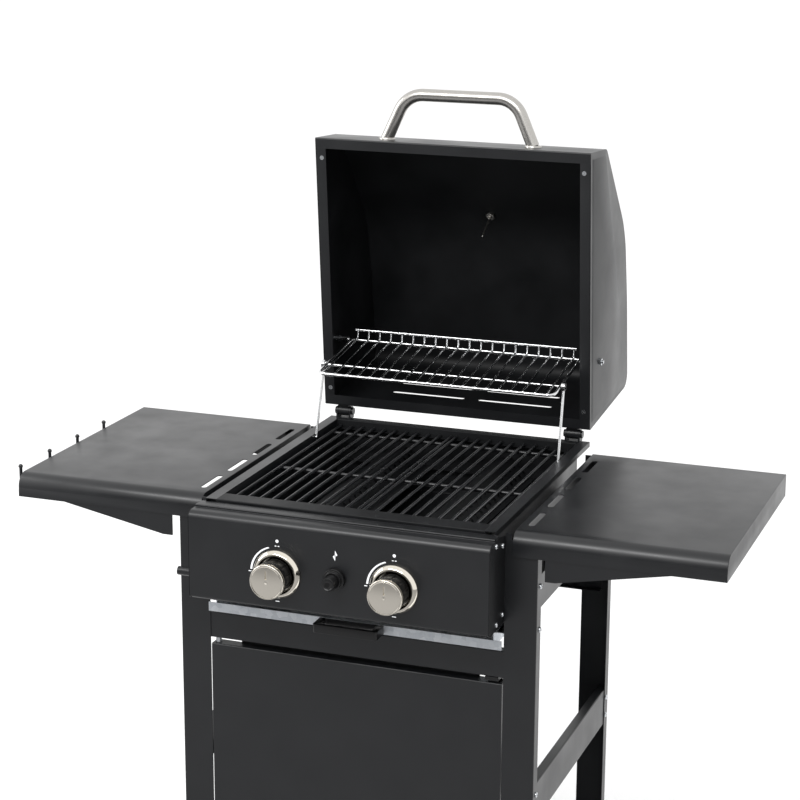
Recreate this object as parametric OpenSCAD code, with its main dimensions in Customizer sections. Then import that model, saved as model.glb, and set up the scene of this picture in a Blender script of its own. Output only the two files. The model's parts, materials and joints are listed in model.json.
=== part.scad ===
// Gas barbecue grill on a cart: two burners, a hinged lid with a swing-away warming rack,
// two side shelves, a pull-out grease tray, a cabinet door and two wheels.
// The lid is drawn open. Each module is one piece, drawn with the middle of the cart at x = 0,
// the front faces of the shelves at y = 0 and their tops at z = 0; place() moves it to its frame.

/* [Overall] */
// Width over the two side shelves
overall_w = 1090; // [900:10:1320]
// Height of the side shelves above the ground
shelf_h = 800; // [660:10:960]
// Depth of the side shelves, front to back
shelf_d = 423; // [350:1:510]
// Thickness of the folded sheet of cart, shelves and panels
sheet = 1.2; // [0.8:0.1:1.6]
// Running clearance between sliding sheet pieces
gap = 0.4; // [0.3:0.1:0.6]
// Radial clearance of a turning pin in its hole
pin_play = 0.05; // [0.02:0.01:0.1]

/* [Side shelves] */
// Height of the flange round a shelf
flange_h = 35; // [25:1:45]
// Radius of the rolled front edge
roll_r = 20; // [8:1:24]
// Gap between a shelf and the firebox rim
shelf_gap = 18; // [14:1:30]
// Length of a vent slot
slot_l = 65; // [40:1:75]
// Width of a vent slot
slot_w = 9; // [6:1:12]
// Number of tool hooks
hook_count = 4; // [2:1:5]
// Spacing of the tool hooks
hook_pitch = 90; // [60:1:100]

/* [Legs and rails] */
// Width of a leg's wide face
leg_w = 48; // [36:1:60]
// Depth of a leg's narrow face
leg_side = 20; // [18:1:30]
// Set-back of the legs from the shelf edges
leg_inset = 3.4; // [2.5:0.1:6]
// Height of the lower side rails
rail_h = 60; // [40:1:80]
// Depth below the shelf tops of the lower side rails
rail_low_z = 384; // [330:1:420]

/* [Firebox] */
// Width over the firebox rim
box_w = 444; // [380:2:560]
// Inner depth of the firebox, front to back
box_d = 440; // [370:1:500]
// Height of the firebox below its rim
box_h = 130; // [120:1:150]
// Width of the rim flange at the sides and the back
rim_w = 17; // [14:1:22]
// Height of the rim above the shelf tops
rim_rise = 5; // [3:0.5:10]

/* [Lid] */
// How far the lid is drawn open
lid_open = 85; // [0:1:90]
// Depth of the lid over its rim
lid_d = 448; // [380:1:500]
// Height of the lid at its back corner
lid_h = 234; // [210:1:280]
// Height of the lid's front wall
lid_front_h = 93; // [80:1:110]
// Diameter of the handle tube
handle_tube = 20; // [16:1:26]
// Distance of the handle bar from the lid
handle_reach = 72; // [55:1:90]
// Distance between the handle's feet
handle_w = 242; // [180:2:300]

/* [Warming rack] */
// Length of the rack's swinging legs between their pivots
rack_leg = 118; // [100:1:130]
// Depth of the rack from its pivot to its front bar
rack_d = 150; // [130:1:170]
// Number of wires across the rack
rack_wires = 20; // [10:1:26]

/* [Grates] */
// Number of long wires in each grate
grate_wires = 11; // [7:1:14]
// Diameter of a long wire
grate_wire = 5; // [4:0.5:6]

/* [Control panel] */
// Height of the panel's front face
panel_h = 133; // [120:1:160]
// How far the panel stands ahead of the shelves
panel_out = 67; // [60:1:80]
// Distance of each knob and burner from the middle
knob_x = 89; // [80:1:100]
// Radius of the bezel round a knob
bezel_r = 36; // [32:1:42]
// Radius of the knob's cap
cap_r = 26; // [20:1:27]
// How far a knob can be pushed in
knob_push = 3; // [2:0.5:4]
// How far the igniter button can be pushed in
button_push = 5; // [3:0.5:7]

/* [Tray and door] */
// Height of the grease tray's front strip
tray_strip = 14; // [10:1:20]
// Depth of the grease tray below its rim flange
tray_deep = 24; // [15:1:25]
// Height of the front cross panel
cross_h = 41; // [30:1:50]
// Depth of the door's folded edge
door_t = 20; // [15:1:25]

/* [Wheels] */
// Diameter of the wheels
wheel_dia = 150; // [120:5:180]
// Width of the wheels
wheel_w = 30; // [24:1:40]
// Diameter of the axle
axle_dia = 10; // [8:1:12]

/* [Hidden] */
$fn = 48;
seam = 0.02;

// Cart
leg_in = box_w/2 + 7;                      // inner edge of a leg's wide face
leg_out = leg_in + leg_w;                  // outer face of a leg
front_y = leg_inset;                       // front face of the front legs
rear_y = shelf_d - leg_inset;              // rear face of the rear legs
floor_z = -shelf_h;
foot_h = 15;                               // foot cap below the end of a left leg
lift = 30;                                 // end of a right leg above the ground
wheel_r = wheel_dia/2;
axle_z = floor_z + wheel_r;
axle_x = leg_in + leg_w/2;
base_z = floor_z + wheel_dia + 2;          // top of the bottom shelf, so that the door clears the wheel
base_h = 30;                               // flange of the bottom shelf
rail_lip = 14;
rail_top_z = -64;
rail_up_h = 52;

// Side shelves
shelf_in = box_w/2 + shelf_gap;
shelf_out = overall_w/2;
slot_x = shelf_in + 15;
under_roll = -roll_r + sqrt(max(0, pow(roll_r - sheet, 2) - pow(roll_r - leg_inset, 2))) - 1;
arm_end = leg_out + 0.72*(shelf_out - leg_out);

// Firebox
box_in = box_w/2 - rim_w;                  // inner face of a side plate
box_y0 = 12;                               // inner face of the front wall
box_y1 = box_y0 + box_d;                   // inner face of the rear wall
rim_y0 = box_y0 - 32;                      // front edge of the rim
rim_y1 = box_y1 + rim_w;                   // rear edge of the rim
box_z = rim_rise - box_h;                  // lowest point of the floor
drip_d = 150;                              // grease opening, front to back
drip_w = 240;

// Grates, flame tamers and burners
grate_top = rim_rise - 7;
grate_x0 = 4;
grate_x1 = box_in - 9;
grate_pitch = (grate_x1 - grate_x0)/(grate_wires - 1);
grate_bar = 6;                             // cross wire under the long wires
ledge = 10;                                // ledge that carries grates and tamers
grate_ledge_z = grate_top - grate_wire;
tamer_ridge_z = -30;
tamer_foot_z = -60;
tamer_half = 50;
burner_z = -80;
burner_r = 15;
neck_r = 12;
knob_z = burner_z;

// Control panel
panel_y = -panel_out;
panel_top = -2;
panel_bot = panel_top - panel_h;
panel_half = leg_in;
step_y = panel_y + 24;
step_h = 3.5;
panel_back = rim_y0 - 2;
stem_r = 3;
plug_r = 7;
valve_front = panel_y + 12;
valve_back = panel_y + 42;
pipe_z = knob_z - 26;
pipe_r = 8;
inlet_r = 6.5;                             // hose nozzle of the gas inlet
dish_t = 2;                                // floor of the bezel dish
knob_r = cap_r - 1;
knob_base = panel_y - dish_t - knob_push - 1;   // rear face of the knob
knob_l = 30;
cap_l = 10;
knob_front = knob_base - knob_l;
cap_front = knob_front - cap_l + 4;
button_z = knob_z + 4;
button_r = 10;
collar_r = 16;
collar_l = 8;
button_out = 30;

// Grease tray
tray_top = panel_bot - 15;                 // rim flange of the tray
tray_half = leg_in - 8;
tray_back = rear_y - sheet - 22;
strip_z0 = tray_top - 26;
strip_z1 = strip_z0 + tray_strip;
runner_lip = 12;

// Cross panels, door and pins
cross_top = strip_z0 - 4;
cross_bot = cross_top - cross_h;
cross_half = leg_out - 15;
door_top = cross_bot - 9;
door_bot = base_z + 9;
door_half = leg_in - 1.4;
door_pin_x = -door_half + 8;
door_pin_y = front_y + 8.6;
door_pin_r = 2.5;

// Lid, drawn closed: its rear rim corner is at (lid_y, lid_z)
lid_half = box_w/2 + 4;
lid_sheet = 1.5;
lid_y = box_y1 + 0.4;
lid_z = rim_rise + 0.7;
hinge_y = lid_y + 12.6;
hinge_z = lid_z + 11.3;
hinge_x = lid_half - 30;
hinge_pin_r = 4;
knuckle_r = 8;
knuckle_w = 18;
lid_front_top = lid_d - 14;
lid_profile = [
    [0, 0, 0], [0, lid_h, 22], [0.335*lid_d, lid_h - 7, 600],
    [0.607*lid_d, lid_h - 23, 140], [lid_front_top, lid_front_h, 18], [lid_d, 0, 0]
];
lid_ledge = 17;                            // flange round the rim
front_lean = atan2(lid_d - lid_front_top, lid_front_h);

// Warming rack: a parallelogram of lid, rack, legs and firebox
rack_dy = 110;                             // from the lid's pivot forward to the legs' pivot
rack_dz = 17;                              // and down
foot_y = hinge_y - rack_dy;
foot_z = hinge_z - rack_dz;
leg_lean = 14.7;                           // lean of the legs with the lid open
leg_turn = leg_lean - (85 - lid_open);
head_y = foot_y + rack_leg*sin(leg_turn);
head_z = foot_z + rack_leg*cos(leg_turn);
rack_y = head_y + rack_dy;                 // pivot of the rack on the lid
rack_z = head_z + rack_dz;
rack_slope = atan2(rack_dz, rack_dy);
rack_span = norm([rack_dy, rack_dz]);
rack_half = box_in - 10;                   // outer wires of the rack
eye_x = box_in + 3;
bolt_r = 3;
foot_x = box_in - 2.5;
wire_r = 2;
rack_frame_r = 2.5;                        // outer wires of the rack
ring_w = 5;                                // width of a leg's eye
ring_x = rack_half + rack_frame_r + ring_w/2 + 0.5;

// The frame's origin is at the bottom of the box round the whole grill, in its middle
open_back = hinge_y + (lid_h - 11.3)*sin(lid_open) - 22*cos(lid_open);
mid_y = (open_back + cap_front)/2;

// --- helpers ------------------------------------------------------------------------------

module place() {
    translate([0, -mid_y, shelf_h]) children();
}

function unit(v) = v/norm(v);
function turn(a, b, c) = sign(cross(b - a, c - b));
function xy(p) = [p[0], p[1]];

// Tangent length and centre of the arc that rounds corner b between a and c
function arc_trim(a, b, c, r) = r*tan(acos(unit(b - a)*unit(c - b))/2);
function arc_centre(a, b, c, r) =
    let (u = unit(a - b), v = unit(c - b), half = acos(u*v)/2)
    b + unit(u + v)*r/sin(half);

// Points of a rounded corner, or the corner itself where its radius is 0
function rounded_corner(a, b, c, r) =
    r <= 0 ? [b] :
    let (
        t = arc_trim(a, b, c, r),
        m = arc_centre(a, b, c, r),
        s = b + unit(a - b)*t - m,
        sweep = turn(a, b, c)*acos(unit(b - a)*unit(c - b)),
        n = max(3, ceil(abs(sweep)/12)),
        start = atan2(s[1], s[0])
    )
    [for (i = [0:n]) m + r*[cos(start + sweep*i/n), sin(start + sweep*i/n)]];

// Corners are [x, y, radius]; the first and last points of an open path stay sharp
function rounded_path(p) = [
    for (i = [0:len(p) - 1])
        each (i == 0 || i == len(p) - 1) ? [xy(p[i])]
            : rounded_corner(xy(p[i - 1]), xy(p[i]), xy(p[i + 1]), p[i][2])
];
function rounded_loop(p) = let (n = len(p)) [
    for (i = [0:n - 1])
        each rounded_corner(xy(p[(i + n - 1)%n]), xy(p[i]), xy(p[(i + 1)%n]), p[i][2])
];

// The path moved by t to its left; each bend keeps its centre
function left_of(a, b) = let (u = unit(b - a)) [-u[1], u[0]];
function moved_path(p, t) = [
    for (i = [0:len(p) - 1])
        let (
            here = xy(p[i]),
            before = i > 0 ? xy(p[i - 1]) : here,
            after = i < len(p) - 1 ? xy(p[i + 1]) : here,
            n0 = i > 0 ? left_of(before, here) : left_of(here, after),
            n1 = i < len(p) - 1 ? left_of(here, after) : n0,
            side = (n0 + n1)/(1 + n0*n1),
            bend = (i > 0 && i < len(p) - 1) ? turn(before, here, after) : 0
        )
        [here[0] + side[0]*t, here[1] + side[1]*t, p[i][2] <= 0 ? 0 : max(0.01, p[i][2] - bend*t)]
];

// Cross-section of sheet of thickness t folded along a path, on the path's left
module fold(p, t = sheet) {
    polygon(concat(rounded_path(p), reversed(rounded_path(moved_path(p, t)))));
}
function reversed(v) = [for (i = [len(v) - 1:-1:0]) v[i]];

// Extrude a (y, z) outline along x, and an (x, z) outline along y
module along_x(x0, x1) {
    translate([x0, 0, 0]) rotate([90, 0, 90]) linear_extrude(x1 - x0) children();
}
module along_y(y0, y1) {
    translate([0, y1, 0]) rotate([90, 0, 0]) linear_extrude(y1 - y0) children();
}
module block(a, b) {
    translate(a) cube(b - a);
}

// Round bars, holes and long slots along an axis
module bar_x(x0, x1, y, z, r) {
    translate([x0, y, z]) rotate([0, 90, 0]) cylinder(h = x1 - x0, r = r);
}
module bar_y(y0, y1, x, z, r) {
    translate([x, y1, z]) rotate([90, 0, 0]) cylinder(h = y1 - y0, r = r);
}
module bar_z(z0, z1, x, y, r) {
    translate([x, y, z0]) cylinder(h = z1 - z0, r = r);
}
module bar_between(a, b, r) {
    d = b - a;
    translate(a) rotate([0, atan2(norm([d[0], d[1]]), d[2]), atan2(d[1], d[0])])
        cylinder(h = norm(d), r = r);
}
module long_slot(l, w, h) {
    block([-(l - w)/2, -w/2, 0], [(l - w)/2, w/2, h]);
    for (s = [-1, 1]) translate([s*(l - w)/2, 0, 0]) cylinder(h = h, d = w);
}

// Round rod of radius r bent in the XY plane along corners [x, y, bend radius].
// Its straight runs are a hair thinner than its bends and reach a little way into them.
function seam_run(bend_r) = sqrt(seam*bend_r);
module bent_rod(p, r) {
    for (i = [0:len(p) - 2]) {
        a = xy(p[i]);
        b = xy(p[i + 1]);
        ta = i > 0 ? arc_trim(xy(p[i - 1]), a, b, p[i][2]) : 0;
        tb = i < len(p) - 2 ? arc_trim(a, b, xy(p[i + 2]), p[i + 1][2]) : 0;
        u = unit(b - a);
        s = a + u*(ta > 0 ? ta - seam_run(p[i][2]) : 0);
        e = b - u*(tb > 0 ? tb - seam_run(p[i + 1][2]) : 0);
        bar_between([s[0], s[1], 0], [e[0], e[1], 0], r - seam);
    }
    for (i = [1:1:len(p) - 2]) {
        a = xy(p[i - 1]);
        b = xy(p[i]);
        c = xy(p[i + 1]);
        m = arc_centre(a, b, c, p[i][2]);
        sweep = acos(unit(b - a)*unit(c - b));
        s = b + unit(turn(a, b, c) > 0 ? a - b : c - b)*arc_trim(a, b, c, p[i][2]) - m;
        translate([m[0], m[1], 0]) rotate([0, 0, atan2(s[1], s[0])])
            rotate_extrude(angle = sweep) translate([p[i][2], 0]) circle(r = r);
    }
}

// The same rod as one smooth skin of the given number of sides, with no seams
function path_normal(p, i) =
    let (t = unit(p[min(i + 1, len(p) - 1)] - p[max(i - 1, 0)])) [-t[1], t[0]];
module smooth_rod(corners, r, sides = 24) {
    p = rounded_path(corners);
    last = (len(p) - 1)*sides;
    polyhedron(
        points = [
            for (i = [0:len(p) - 1], j = [0:sides - 1])
                let (side = path_normal(p, i)*r*cos(360*j/sides))
                [p[i][0] + side[0], p[i][1] + side[1], r*sin(360*j/sides)]
        ],
        faces = [
            [for (j = [0:sides - 1]) j],
            [for (j = [sides - 1:-1:0]) last + j],
            for (i = [0:len(p) - 2], j = [0:sides - 1])
                let (a = i*sides + j, b = i*sides + (j + 1)%sides)
                each [[a, a + sides, b], [b, a + sides, b + sides]]
        ]
    );
}

module both_sides() {
    children();
    mirror([1, 0, 0]) children();
}

// --- cart ---------------------------------------------------------------------------------

// A leg: wide face to the front or back, narrow face to the side, cut away under the shelf
module leg_section(z0) {
    difference() {
        translate([0, 0, z0]) linear_extrude(-sheet - 1 - z0)
            fold([[leg_in, front_y, 0], [leg_out, front_y, 2], [leg_out, front_y + leg_side, 0]]);
        block([shelf_in - 2, front_y - 1, under_roll], [leg_out + 1, front_y + leg_side + 1, 1]);
    }
}
module to_rear() {
    translate([0, front_y + rear_y, 0]) mirror([0, 1, 0]) children();
}
module leg_left() {
    mirror([1, 0, 0]) leg_section(floor_z + foot_h);
}
module leg_right() {
    difference() {
        leg_section(floor_z + lift);
        bar_y(front_y - 1, front_y + leg_side, axle_x, axle_z, axle_dia/2);
    }
}
module leg_front_left() {
    color("#2c2d30") leg_left();
}
module leg_front_right() {
    color("#2c2d30") leg_right();
}
module leg_rear_left() {
    color("#2c2d30") to_rear() leg_left();
}
module leg_rear_right() {
    color("#2c2d30") to_rear() leg_right();
}

// Upper rails: channels between the legs with an arm that reaches in to hold the firebox
module side_rails_upper() {
    out = leg_out - sheet;
    hold = box_in + 2*sheet;
    color("#2c2d30") both_sides() along_y(front_y + sheet, rear_y - sheet)
        fold([
            [out - rail_lip, rail_top_z - rail_up_h, 0], [out, rail_top_z - rail_up_h, 2],
            [out, rail_top_z, 2], [hold, rail_top_z, 2], [hold, rail_top_z + 15, 0]
        ]);
}
module side_rails_lower() {
    out = leg_out - sheet;
    color("#3a3b3e") both_sides() along_y(front_y + sheet, rear_y - sheet)
        fold([
            [out - rail_lip, -rail_low_z - rail_h, 0], [out, -rail_low_z - rail_h, 2],
            [out, -rail_low_z, 2], [out - rail_lip, -rail_low_z, 0]
        ]);
}

// Cross members: a face with lips folded back at its top and bottom
module cross_member() {
    y = front_y + sheet;
    along_x(-cross_half, cross_half)
        fold([[y + 15, cross_top, 0], [y, cross_top, 2], [y, cross_bot, 2], [y + 15, cross_bot, 0]]);
}
module front_cross_panel() {
    stop_x = door_half - 40;
    stop_y = front_y + door_t + gap;
    color("#2f3033") {
        difference() {
            cross_member();
            bar_z(cross_bot - 1, cross_bot + 4, door_pin_x, door_pin_y, door_pin_r);
        }
        // Door stop: a strip that hangs behind the door's top edge
        block([-stop_x, front_y + sheet + 10, cross_bot], [stop_x, stop_y + sheet, cross_bot + sheet]);
        block([-stop_x, stop_y, cross_bot - 16], [stop_x, stop_y + sheet, cross_bot + sheet]);
    }
}
module rear_crossbar() {
    color("#2c2d30") to_rear() cross_member();
}

module bottom_shelf() {
    x = leg_out - sheet;
    y0 = front_y + sheet;
    y1 = rear_y - sheet;
    color("#2c2d30") difference() {
        union() {
            along_x(-x, x) fold([
                [y1, base_z - base_h, 0], [y1, base_z, 2], [y0, base_z, 2], [y0, base_z - base_h, 0]
            ]);
            both_sides() block([x - sheet, y0 + sheet, base_z - base_h], [x, y1 - sheet, base_z - sheet]);
        }
        bar_z(base_z - 4, base_z + 1, door_pin_x, door_pin_y, door_pin_r);
    }
}

wheel_y0 = front_y - 8 - wheel_w;
wheel_y1 = rear_y + 8;
module wheel_axle() {
    collar = axle_dia/2 + 3;
    color("#b9bcc0") {
        bar_y(wheel_y0 - 6, wheel_y1 + wheel_w + 6, axle_x, axle_z, axle_dia/2);
        for (y = [wheel_y0 - 6, wheel_y1 + wheel_w + gap])
            bar_y(y, y + 6 - gap, axle_x, axle_z, collar + 4);
        for (y = [front_y - 7, rear_y + 1]) bar_y(y, y + 6, axle_x, axle_z, collar);
    }
}
module wheel(y0) {
    rim = wheel_r - 12;
    hub = 17;
    y1 = y0 + wheel_w;
    color("#1b1c1d") translate([axle_x, y1, axle_z]) rotate([90, 0, 0]) {
        rotate_extrude($fn = 96) polygon(rounded_loop([
            [rim, 0, 2], [wheel_r, 0, 7], [wheel_r, wheel_w, 7], [rim, wheel_w, 2]
        ]));
        difference() {
            cylinder(h = wheel_w, r = hub);
            translate([0, 0, -1]) cylinder(h = wheel_w + 2, r = axle_dia/2 + pin_play);
        }
        for (i = [0:5]) rotate([0, 0, 60*i])
            block([hub - 2, -5, 6], [rim + 1, 5, wheel_w - 6]);
        difference() {
            translate([0, 0, wheel_w/2 - 2]) cylinder(h = 4, r = rim + 1);
            translate([0, 0, wheel_w/2 - 3]) cylinder(h = 6, r = hub - 1);
        }
    }
}
module wheel_front() {
    wheel(wheel_y0);
}
module wheel_rear() {
    wheel(wheel_y1);
}

// A cap that closes the end of a left leg and carries it
module foot_cap() {
    difference() {
        block([leg_in - 3, front_y - 2, floor_z],
            [leg_out + 2, front_y + leg_side + 3, floor_z + foot_h + 20]);
        translate([0, 0, floor_z + foot_h]) linear_extrude(40)
            fold([
                [leg_in - 0.5, front_y, 0], [leg_out, front_y, 2], [leg_out, front_y + leg_side + 0.5, 0]
            ]);
        block([leg_in, front_y + sheet + 2, floor_z + foot_h],
            [leg_out - sheet - 2, front_y + leg_side + 1, floor_z + foot_h + 40]);
    }
}
module foot_caps() {
    color("#17181a") {
        mirror([1, 0, 0]) foot_cap();
        to_rear() mirror([1, 0, 0]) foot_cap();
    }
}

// A bolt with a domed head, pointing along -x from a face at x = 0
module bolt_head(r = 4) {
    rotate([0, 90, 0]) rotate_extrude()
        polygon(rounded_path([[0, 0, 0], [r, 0, 0], [r, 1.2, 0.6], [r*0.55, 2.6, 1], [0, 2.6, 0]]));
}
module cart_bolts() {
    color("#c9ccd0") both_sides() for (y = [front_y + 14, rear_y - 14]) {
        for (z = [-80, -145, -rail_low_z - 15, -rail_low_z - rail_h + 15, base_z - 15])
            translate([leg_out, y, z]) bolt_head();
    }
}

// --- side shelves -------------------------------------------------------------------------

// One tray-like shelf on the right: rolled front edge, flanges all round, four vent slots
module side_shelf() {
    difference() {
        union() {
            along_x(shelf_in, shelf_out) fold([
                [shelf_d, -flange_h, 0], [shelf_d, 0, 3], [0, 0, roll_r], [0, -flange_h, 0]
            ]);
            for (x = [shelf_in, shelf_out - sheet]) along_x(x, x + sheet) polygon(rounded_loop([
                [0.3, -flange_h + 0.3, 0], [shelf_d - 0.3, -flange_h + 0.3, 0],
                [shelf_d - 0.3, -0.3, 3], [0.3, -0.3, roll_r]
            ]));
        }
        for (i = [0:3]) translate([slot_x, 0.17*shelf_d + i*0.22*shelf_d, -3])
            rotate([0, 0, 90]) long_slot(slot_l, slot_w, 6);
        for (y = [front_y, rear_y - sheet]) block([shelf_in - 1, y - gap, -flange_h - 1],
            [shelf_in + sheet + 1, y + sheet + gap, under_roll + gap]);
    }
}
module side_shelf_left() {
    color("#3a3b3d") mirror([1, 0, 0]) side_shelf();
}
module side_shelf_right() {
    color("#3a3b3d") side_shelf();
}

// Tapered arms that carry the shelves off the legs, front and back
module bracket_arm() {
    z = -flange_h;
    color("#2a2b2e") along_y(sheet, leg_inset) polygon([
        [arm_end, -roll_r], [arm_end, z], [leg_out + 26, z - 32], [leg_out + 11, z - 32],
        [leg_out + 11, z], [shelf_in + sheet, z], [shelf_in + sheet, -roll_r]
    ]);
}
module shelf_brackets() {
    both_sides() {
        bracket_arm();
        translate([0, shelf_d, 0]) mirror([0, 1, 0]) bracket_arm();
    }
}

// A rail on the left shelf's outer flange with upturned wire hooks
module tool_hooks() {
    r = 2.5;
    reach = 11;
    tip_z = 3;
    z = -22;
    y0 = (shelf_d - (hook_count - 1)*hook_pitch)/2 - 47;
    x = -shelf_out;
    color("#1d1e20") {
        block([x - 2, y0 - 12, z - 9], [x, y0 + (hook_count - 1)*hook_pitch + 12, z + 9]);
        for (i = [0:hook_count - 1]) translate([x - 1, y0 + i*hook_pitch, 0]) rotate([90, 0, 0]) {
            bent_rod([[0, z, 0], [-reach, z, 7], [-reach, tip_z, 0]], r);
            translate([-reach, tip_z, 0]) sphere(r = r + 1);
        }
    }
}

// --- control panel ------------------------------------------------------------------------

module control_panel() {
    half = panel_half - sheet;
    color("#2e2f33") difference() {
        intersection() {
            along_x(-half, half) fold([
                [panel_back, panel_top - 8, 0], [panel_back, panel_top + step_h, 1.6],
                [step_y, panel_top + step_h, 1.6], [step_y, panel_top, 0],
                [panel_y, panel_top, 11], [panel_y, panel_bot, 7], [-8, panel_bot, 0]
            ]);
            along_y(panel_y - 1, 5) polygon(rounded_loop([
                [-half, panel_bot - 1, 8], [half, panel_bot - 1, 8], [half, 10, 0], [-half, 10, 0]
            ]));
        }
        for (s = [-1, 1]) bar_y(panel_y - 1, panel_y + 3, s*knob_x, knob_z, stem_r + 2);
        bar_y(panel_y - 1, panel_y + 3, 0, button_z, button_r + 1.5);
    }
}

// End plates with four screws each
module panel_ends() {
    color("#0e0f10") difference() {
        both_sides() along_x(panel_half - sheet, panel_half) polygon(rounded_loop([
            [panel_y, panel_bot, 7], [front_y, panel_bot, 3], [front_y, panel_top - 4, 3],
            [panel_back, panel_top + 1, 2], [panel_back - 8, panel_top + step_h, 2],
            [step_y, panel_top, 3], [panel_y, panel_top, 11]
        ]));
        bar_x(-panel_half - 1, -panel_half + 2, valve_back - 12, pipe_z, pipe_r - 1);
    }
    color("#c9ccd0") both_sides() for (p = [
        [-41, panel_top - 7], [-11, panel_top - 15], [-7, panel_bot + 15], [-35, panel_bot + 9]
    ]) translate([panel_half, p[0], p[1]]) bolt_head(3.4);
}

// Chrome dishes that the knobs sit in
module knob_bezels() {
    lip = cap_r + 1.5;
    color("#d8d3c8") for (s = [-1, 1]) translate([s*knob_x, panel_y, knob_z]) rotate([90, 0, 0])
        rotate_extrude($fn = 96) polygon(rounded_loop([
            [stem_r + 2, 0, 0], [bezel_r, 0, 0], [bezel_r, 4, 2], [bezel_r - 4, 9, 2.5],
            [lip + 1, 9, 0.9], [lip - 0.5, dish_t, 0.9], [stem_r + 2, dish_t, 0]
        ]));
}

module gas_manifold() {
    color("#9a9c9e") difference() {
        bar_x(-panel_half + 14, knob_x + 30, valve_back - 12, pipe_z, pipe_r);
        bar_x(-panel_half, knob_x + 26, valve_back - 12, pipe_z, pipe_r - 2);
        for (s = [-1, 1]) bar_z(pipe_z + pipe_r - 4, pipe_z + pipe_r + 1, s*knob_x, valve_back - 12, 2);
    }
}
// Valve bodies: a barrel with a saddle on the pipe, a neck in front and a nozzle behind
module gas_valves() {
    color("#b08d4a") for (s = [-1, 1]) translate([s*knob_x, 0, 0]) difference() {
        union() {
            bar_y(valve_front, valve_back, 0, knob_z, 13);
            bar_y(panel_y + sheet, valve_front, 0, knob_z, 9);
            bar_y(valve_back, valve_back + 9, 0, knob_z, 4);
            bar_z(pipe_z + pipe_r - 1, knob_z - 10, 0, valve_back - 12, 6);
        }
        bar_y(valve_front + 2, valve_back - 3, 0, knob_z, plug_r + pin_play);
        bar_y(panel_y, valve_front + 3, 0, knob_z, stem_r + 1);
        bar_y(valve_back - 4, valve_back + 10, 0, knob_z, 1.2);
        bar_z(pipe_z, knob_z - 8, 0, valve_back - 12, 2);
        bar_x(-10, 10, valve_back - 12, pipe_z, pipe_r);
    }
}
// Turning plug of a valve, with the bore that its stem slides in
module valve_plug(s) {
    color("#c9a95c") difference() {
        bar_y(valve_front + 2 + gap, valve_back - 3 - gap, s*knob_x, knob_z, plug_r);
        bar_y(valve_front, valve_back - 8, s*knob_x, knob_z, stem_r + pin_play);
    }
}
module valve_plug_left() {
    valve_plug(-1);
}
module valve_plug_right() {
    valve_plug(1);
}
stem_end = valve_back - 8 - knob_push - 2;
module valve_stem(s) {
    color("#c9ccd0") bar_y(knob_front + 10, stem_end, s*knob_x, knob_z, stem_r);
}
module valve_stem_left() {
    valve_stem(-1);
}
module valve_stem_right() {
    valve_stem(1);
}
module knob(s) {
    color("#141516") translate([s*knob_x, knob_base, knob_z]) rotate([90, 0, 0]) difference() {
        rotate_extrude($fn = 96) polygon(rounded_loop([
            [0, 0, 0], [knob_r - 1, 0, 0.6], [knob_r, 4, 2], [knob_r, knob_l - 2, 0],
            [knob_r, knob_l, 0], [0, knob_l, 0]
        ]));
        translate([0, 0, -1]) cylinder(h = knob_l - 9, r = stem_r);
        for (i = [0:11]) rotate([0, 0, 30*i + 15]) translate([knob_r + 1.4, 0, 3])
            cylinder(h = 17, r = 2.4);
    }
}
module knob_left() {
    knob(-1);
}
module knob_right() {
    knob(1);
}
// Domed cap with a recessed pointer
module knob_cap(s) {
    dome = 60;
    color("#e2ddd2") translate([s*knob_x, knob_front, knob_z]) rotate([90, 0, 0]) difference() {
        union() {
            translate([0, 0, -4]) difference() {
                cylinder(h = cap_l - 2, r = cap_r, $fn = 96);
                translate([0, 0, -1]) cylinder(h = 5, r = knob_r);
            }
            intersection() {
                translate([0, 0, cap_l - 4 - dome]) sphere(r = dome, $fn = 96);
                translate([0, 0, cap_l - 7]) cylinder(h = 4, r = cap_r, $fn = 96);
            }
        }
        translate([0, cap_r*0.45, cap_l - 5.5]) rotate([0, 0, 90]) long_slot(14, 3, 3);
    }
}
module knob_cap_left() {
    knob_cap(-1);
}
module knob_cap_right() {
    knob_cap(1);
}

// Inlet fitting on the pipe's open end: a hexagon and a hose nozzle outside the left end plate
module gas_inlet() {
    x = -panel_half - 1;
    y = valve_back - 12;
    color("#3a3a3c") difference() {
        union() {
            bar_x(x - 1, x + 23, y, pipe_z, pipe_r - 2);
            translate([x - 8, y, pipe_z]) rotate([0, 90, 0]) cylinder(h = 8, r = 11, $fn = 6);
            bar_x(x - 30, x - 8, y, pipe_z, inlet_r);
        }
        bar_x(x - 31, x + 24, y, pipe_z, 3);
    }
}

module igniter_body() {
    r = button_r + 1.5;
    color("#1a1b1c") difference() {
        union() {
            bar_y(panel_y - collar_l, panel_y, 0, button_z, collar_r);
            bar_y(panel_y - collar_l - 5, panel_y - collar_l, 0, button_z, collar_r - 3);
            bar_y(panel_y, panel_y + 38, 0, button_z, r);
            bar_y(panel_y + sheet, panel_y + sheet + 5, 0, button_z, collar_r);
        }
        bar_y(panel_y - collar_l - 6, panel_y + 30, 0, button_z, button_r + 0.3);
    }
}
module igniter_button() {
    y = panel_y - button_out;
    shaft = button_out + 20;
    color("#0f1011") translate([0, y, button_z]) rotate([-90, 0, 0]) rotate_extrude()
        polygon(rounded_loop([[0, 0, 0], [button_r, 0, 2], [button_r, shaft, 0], [0, shaft, 0]]));
}
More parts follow.
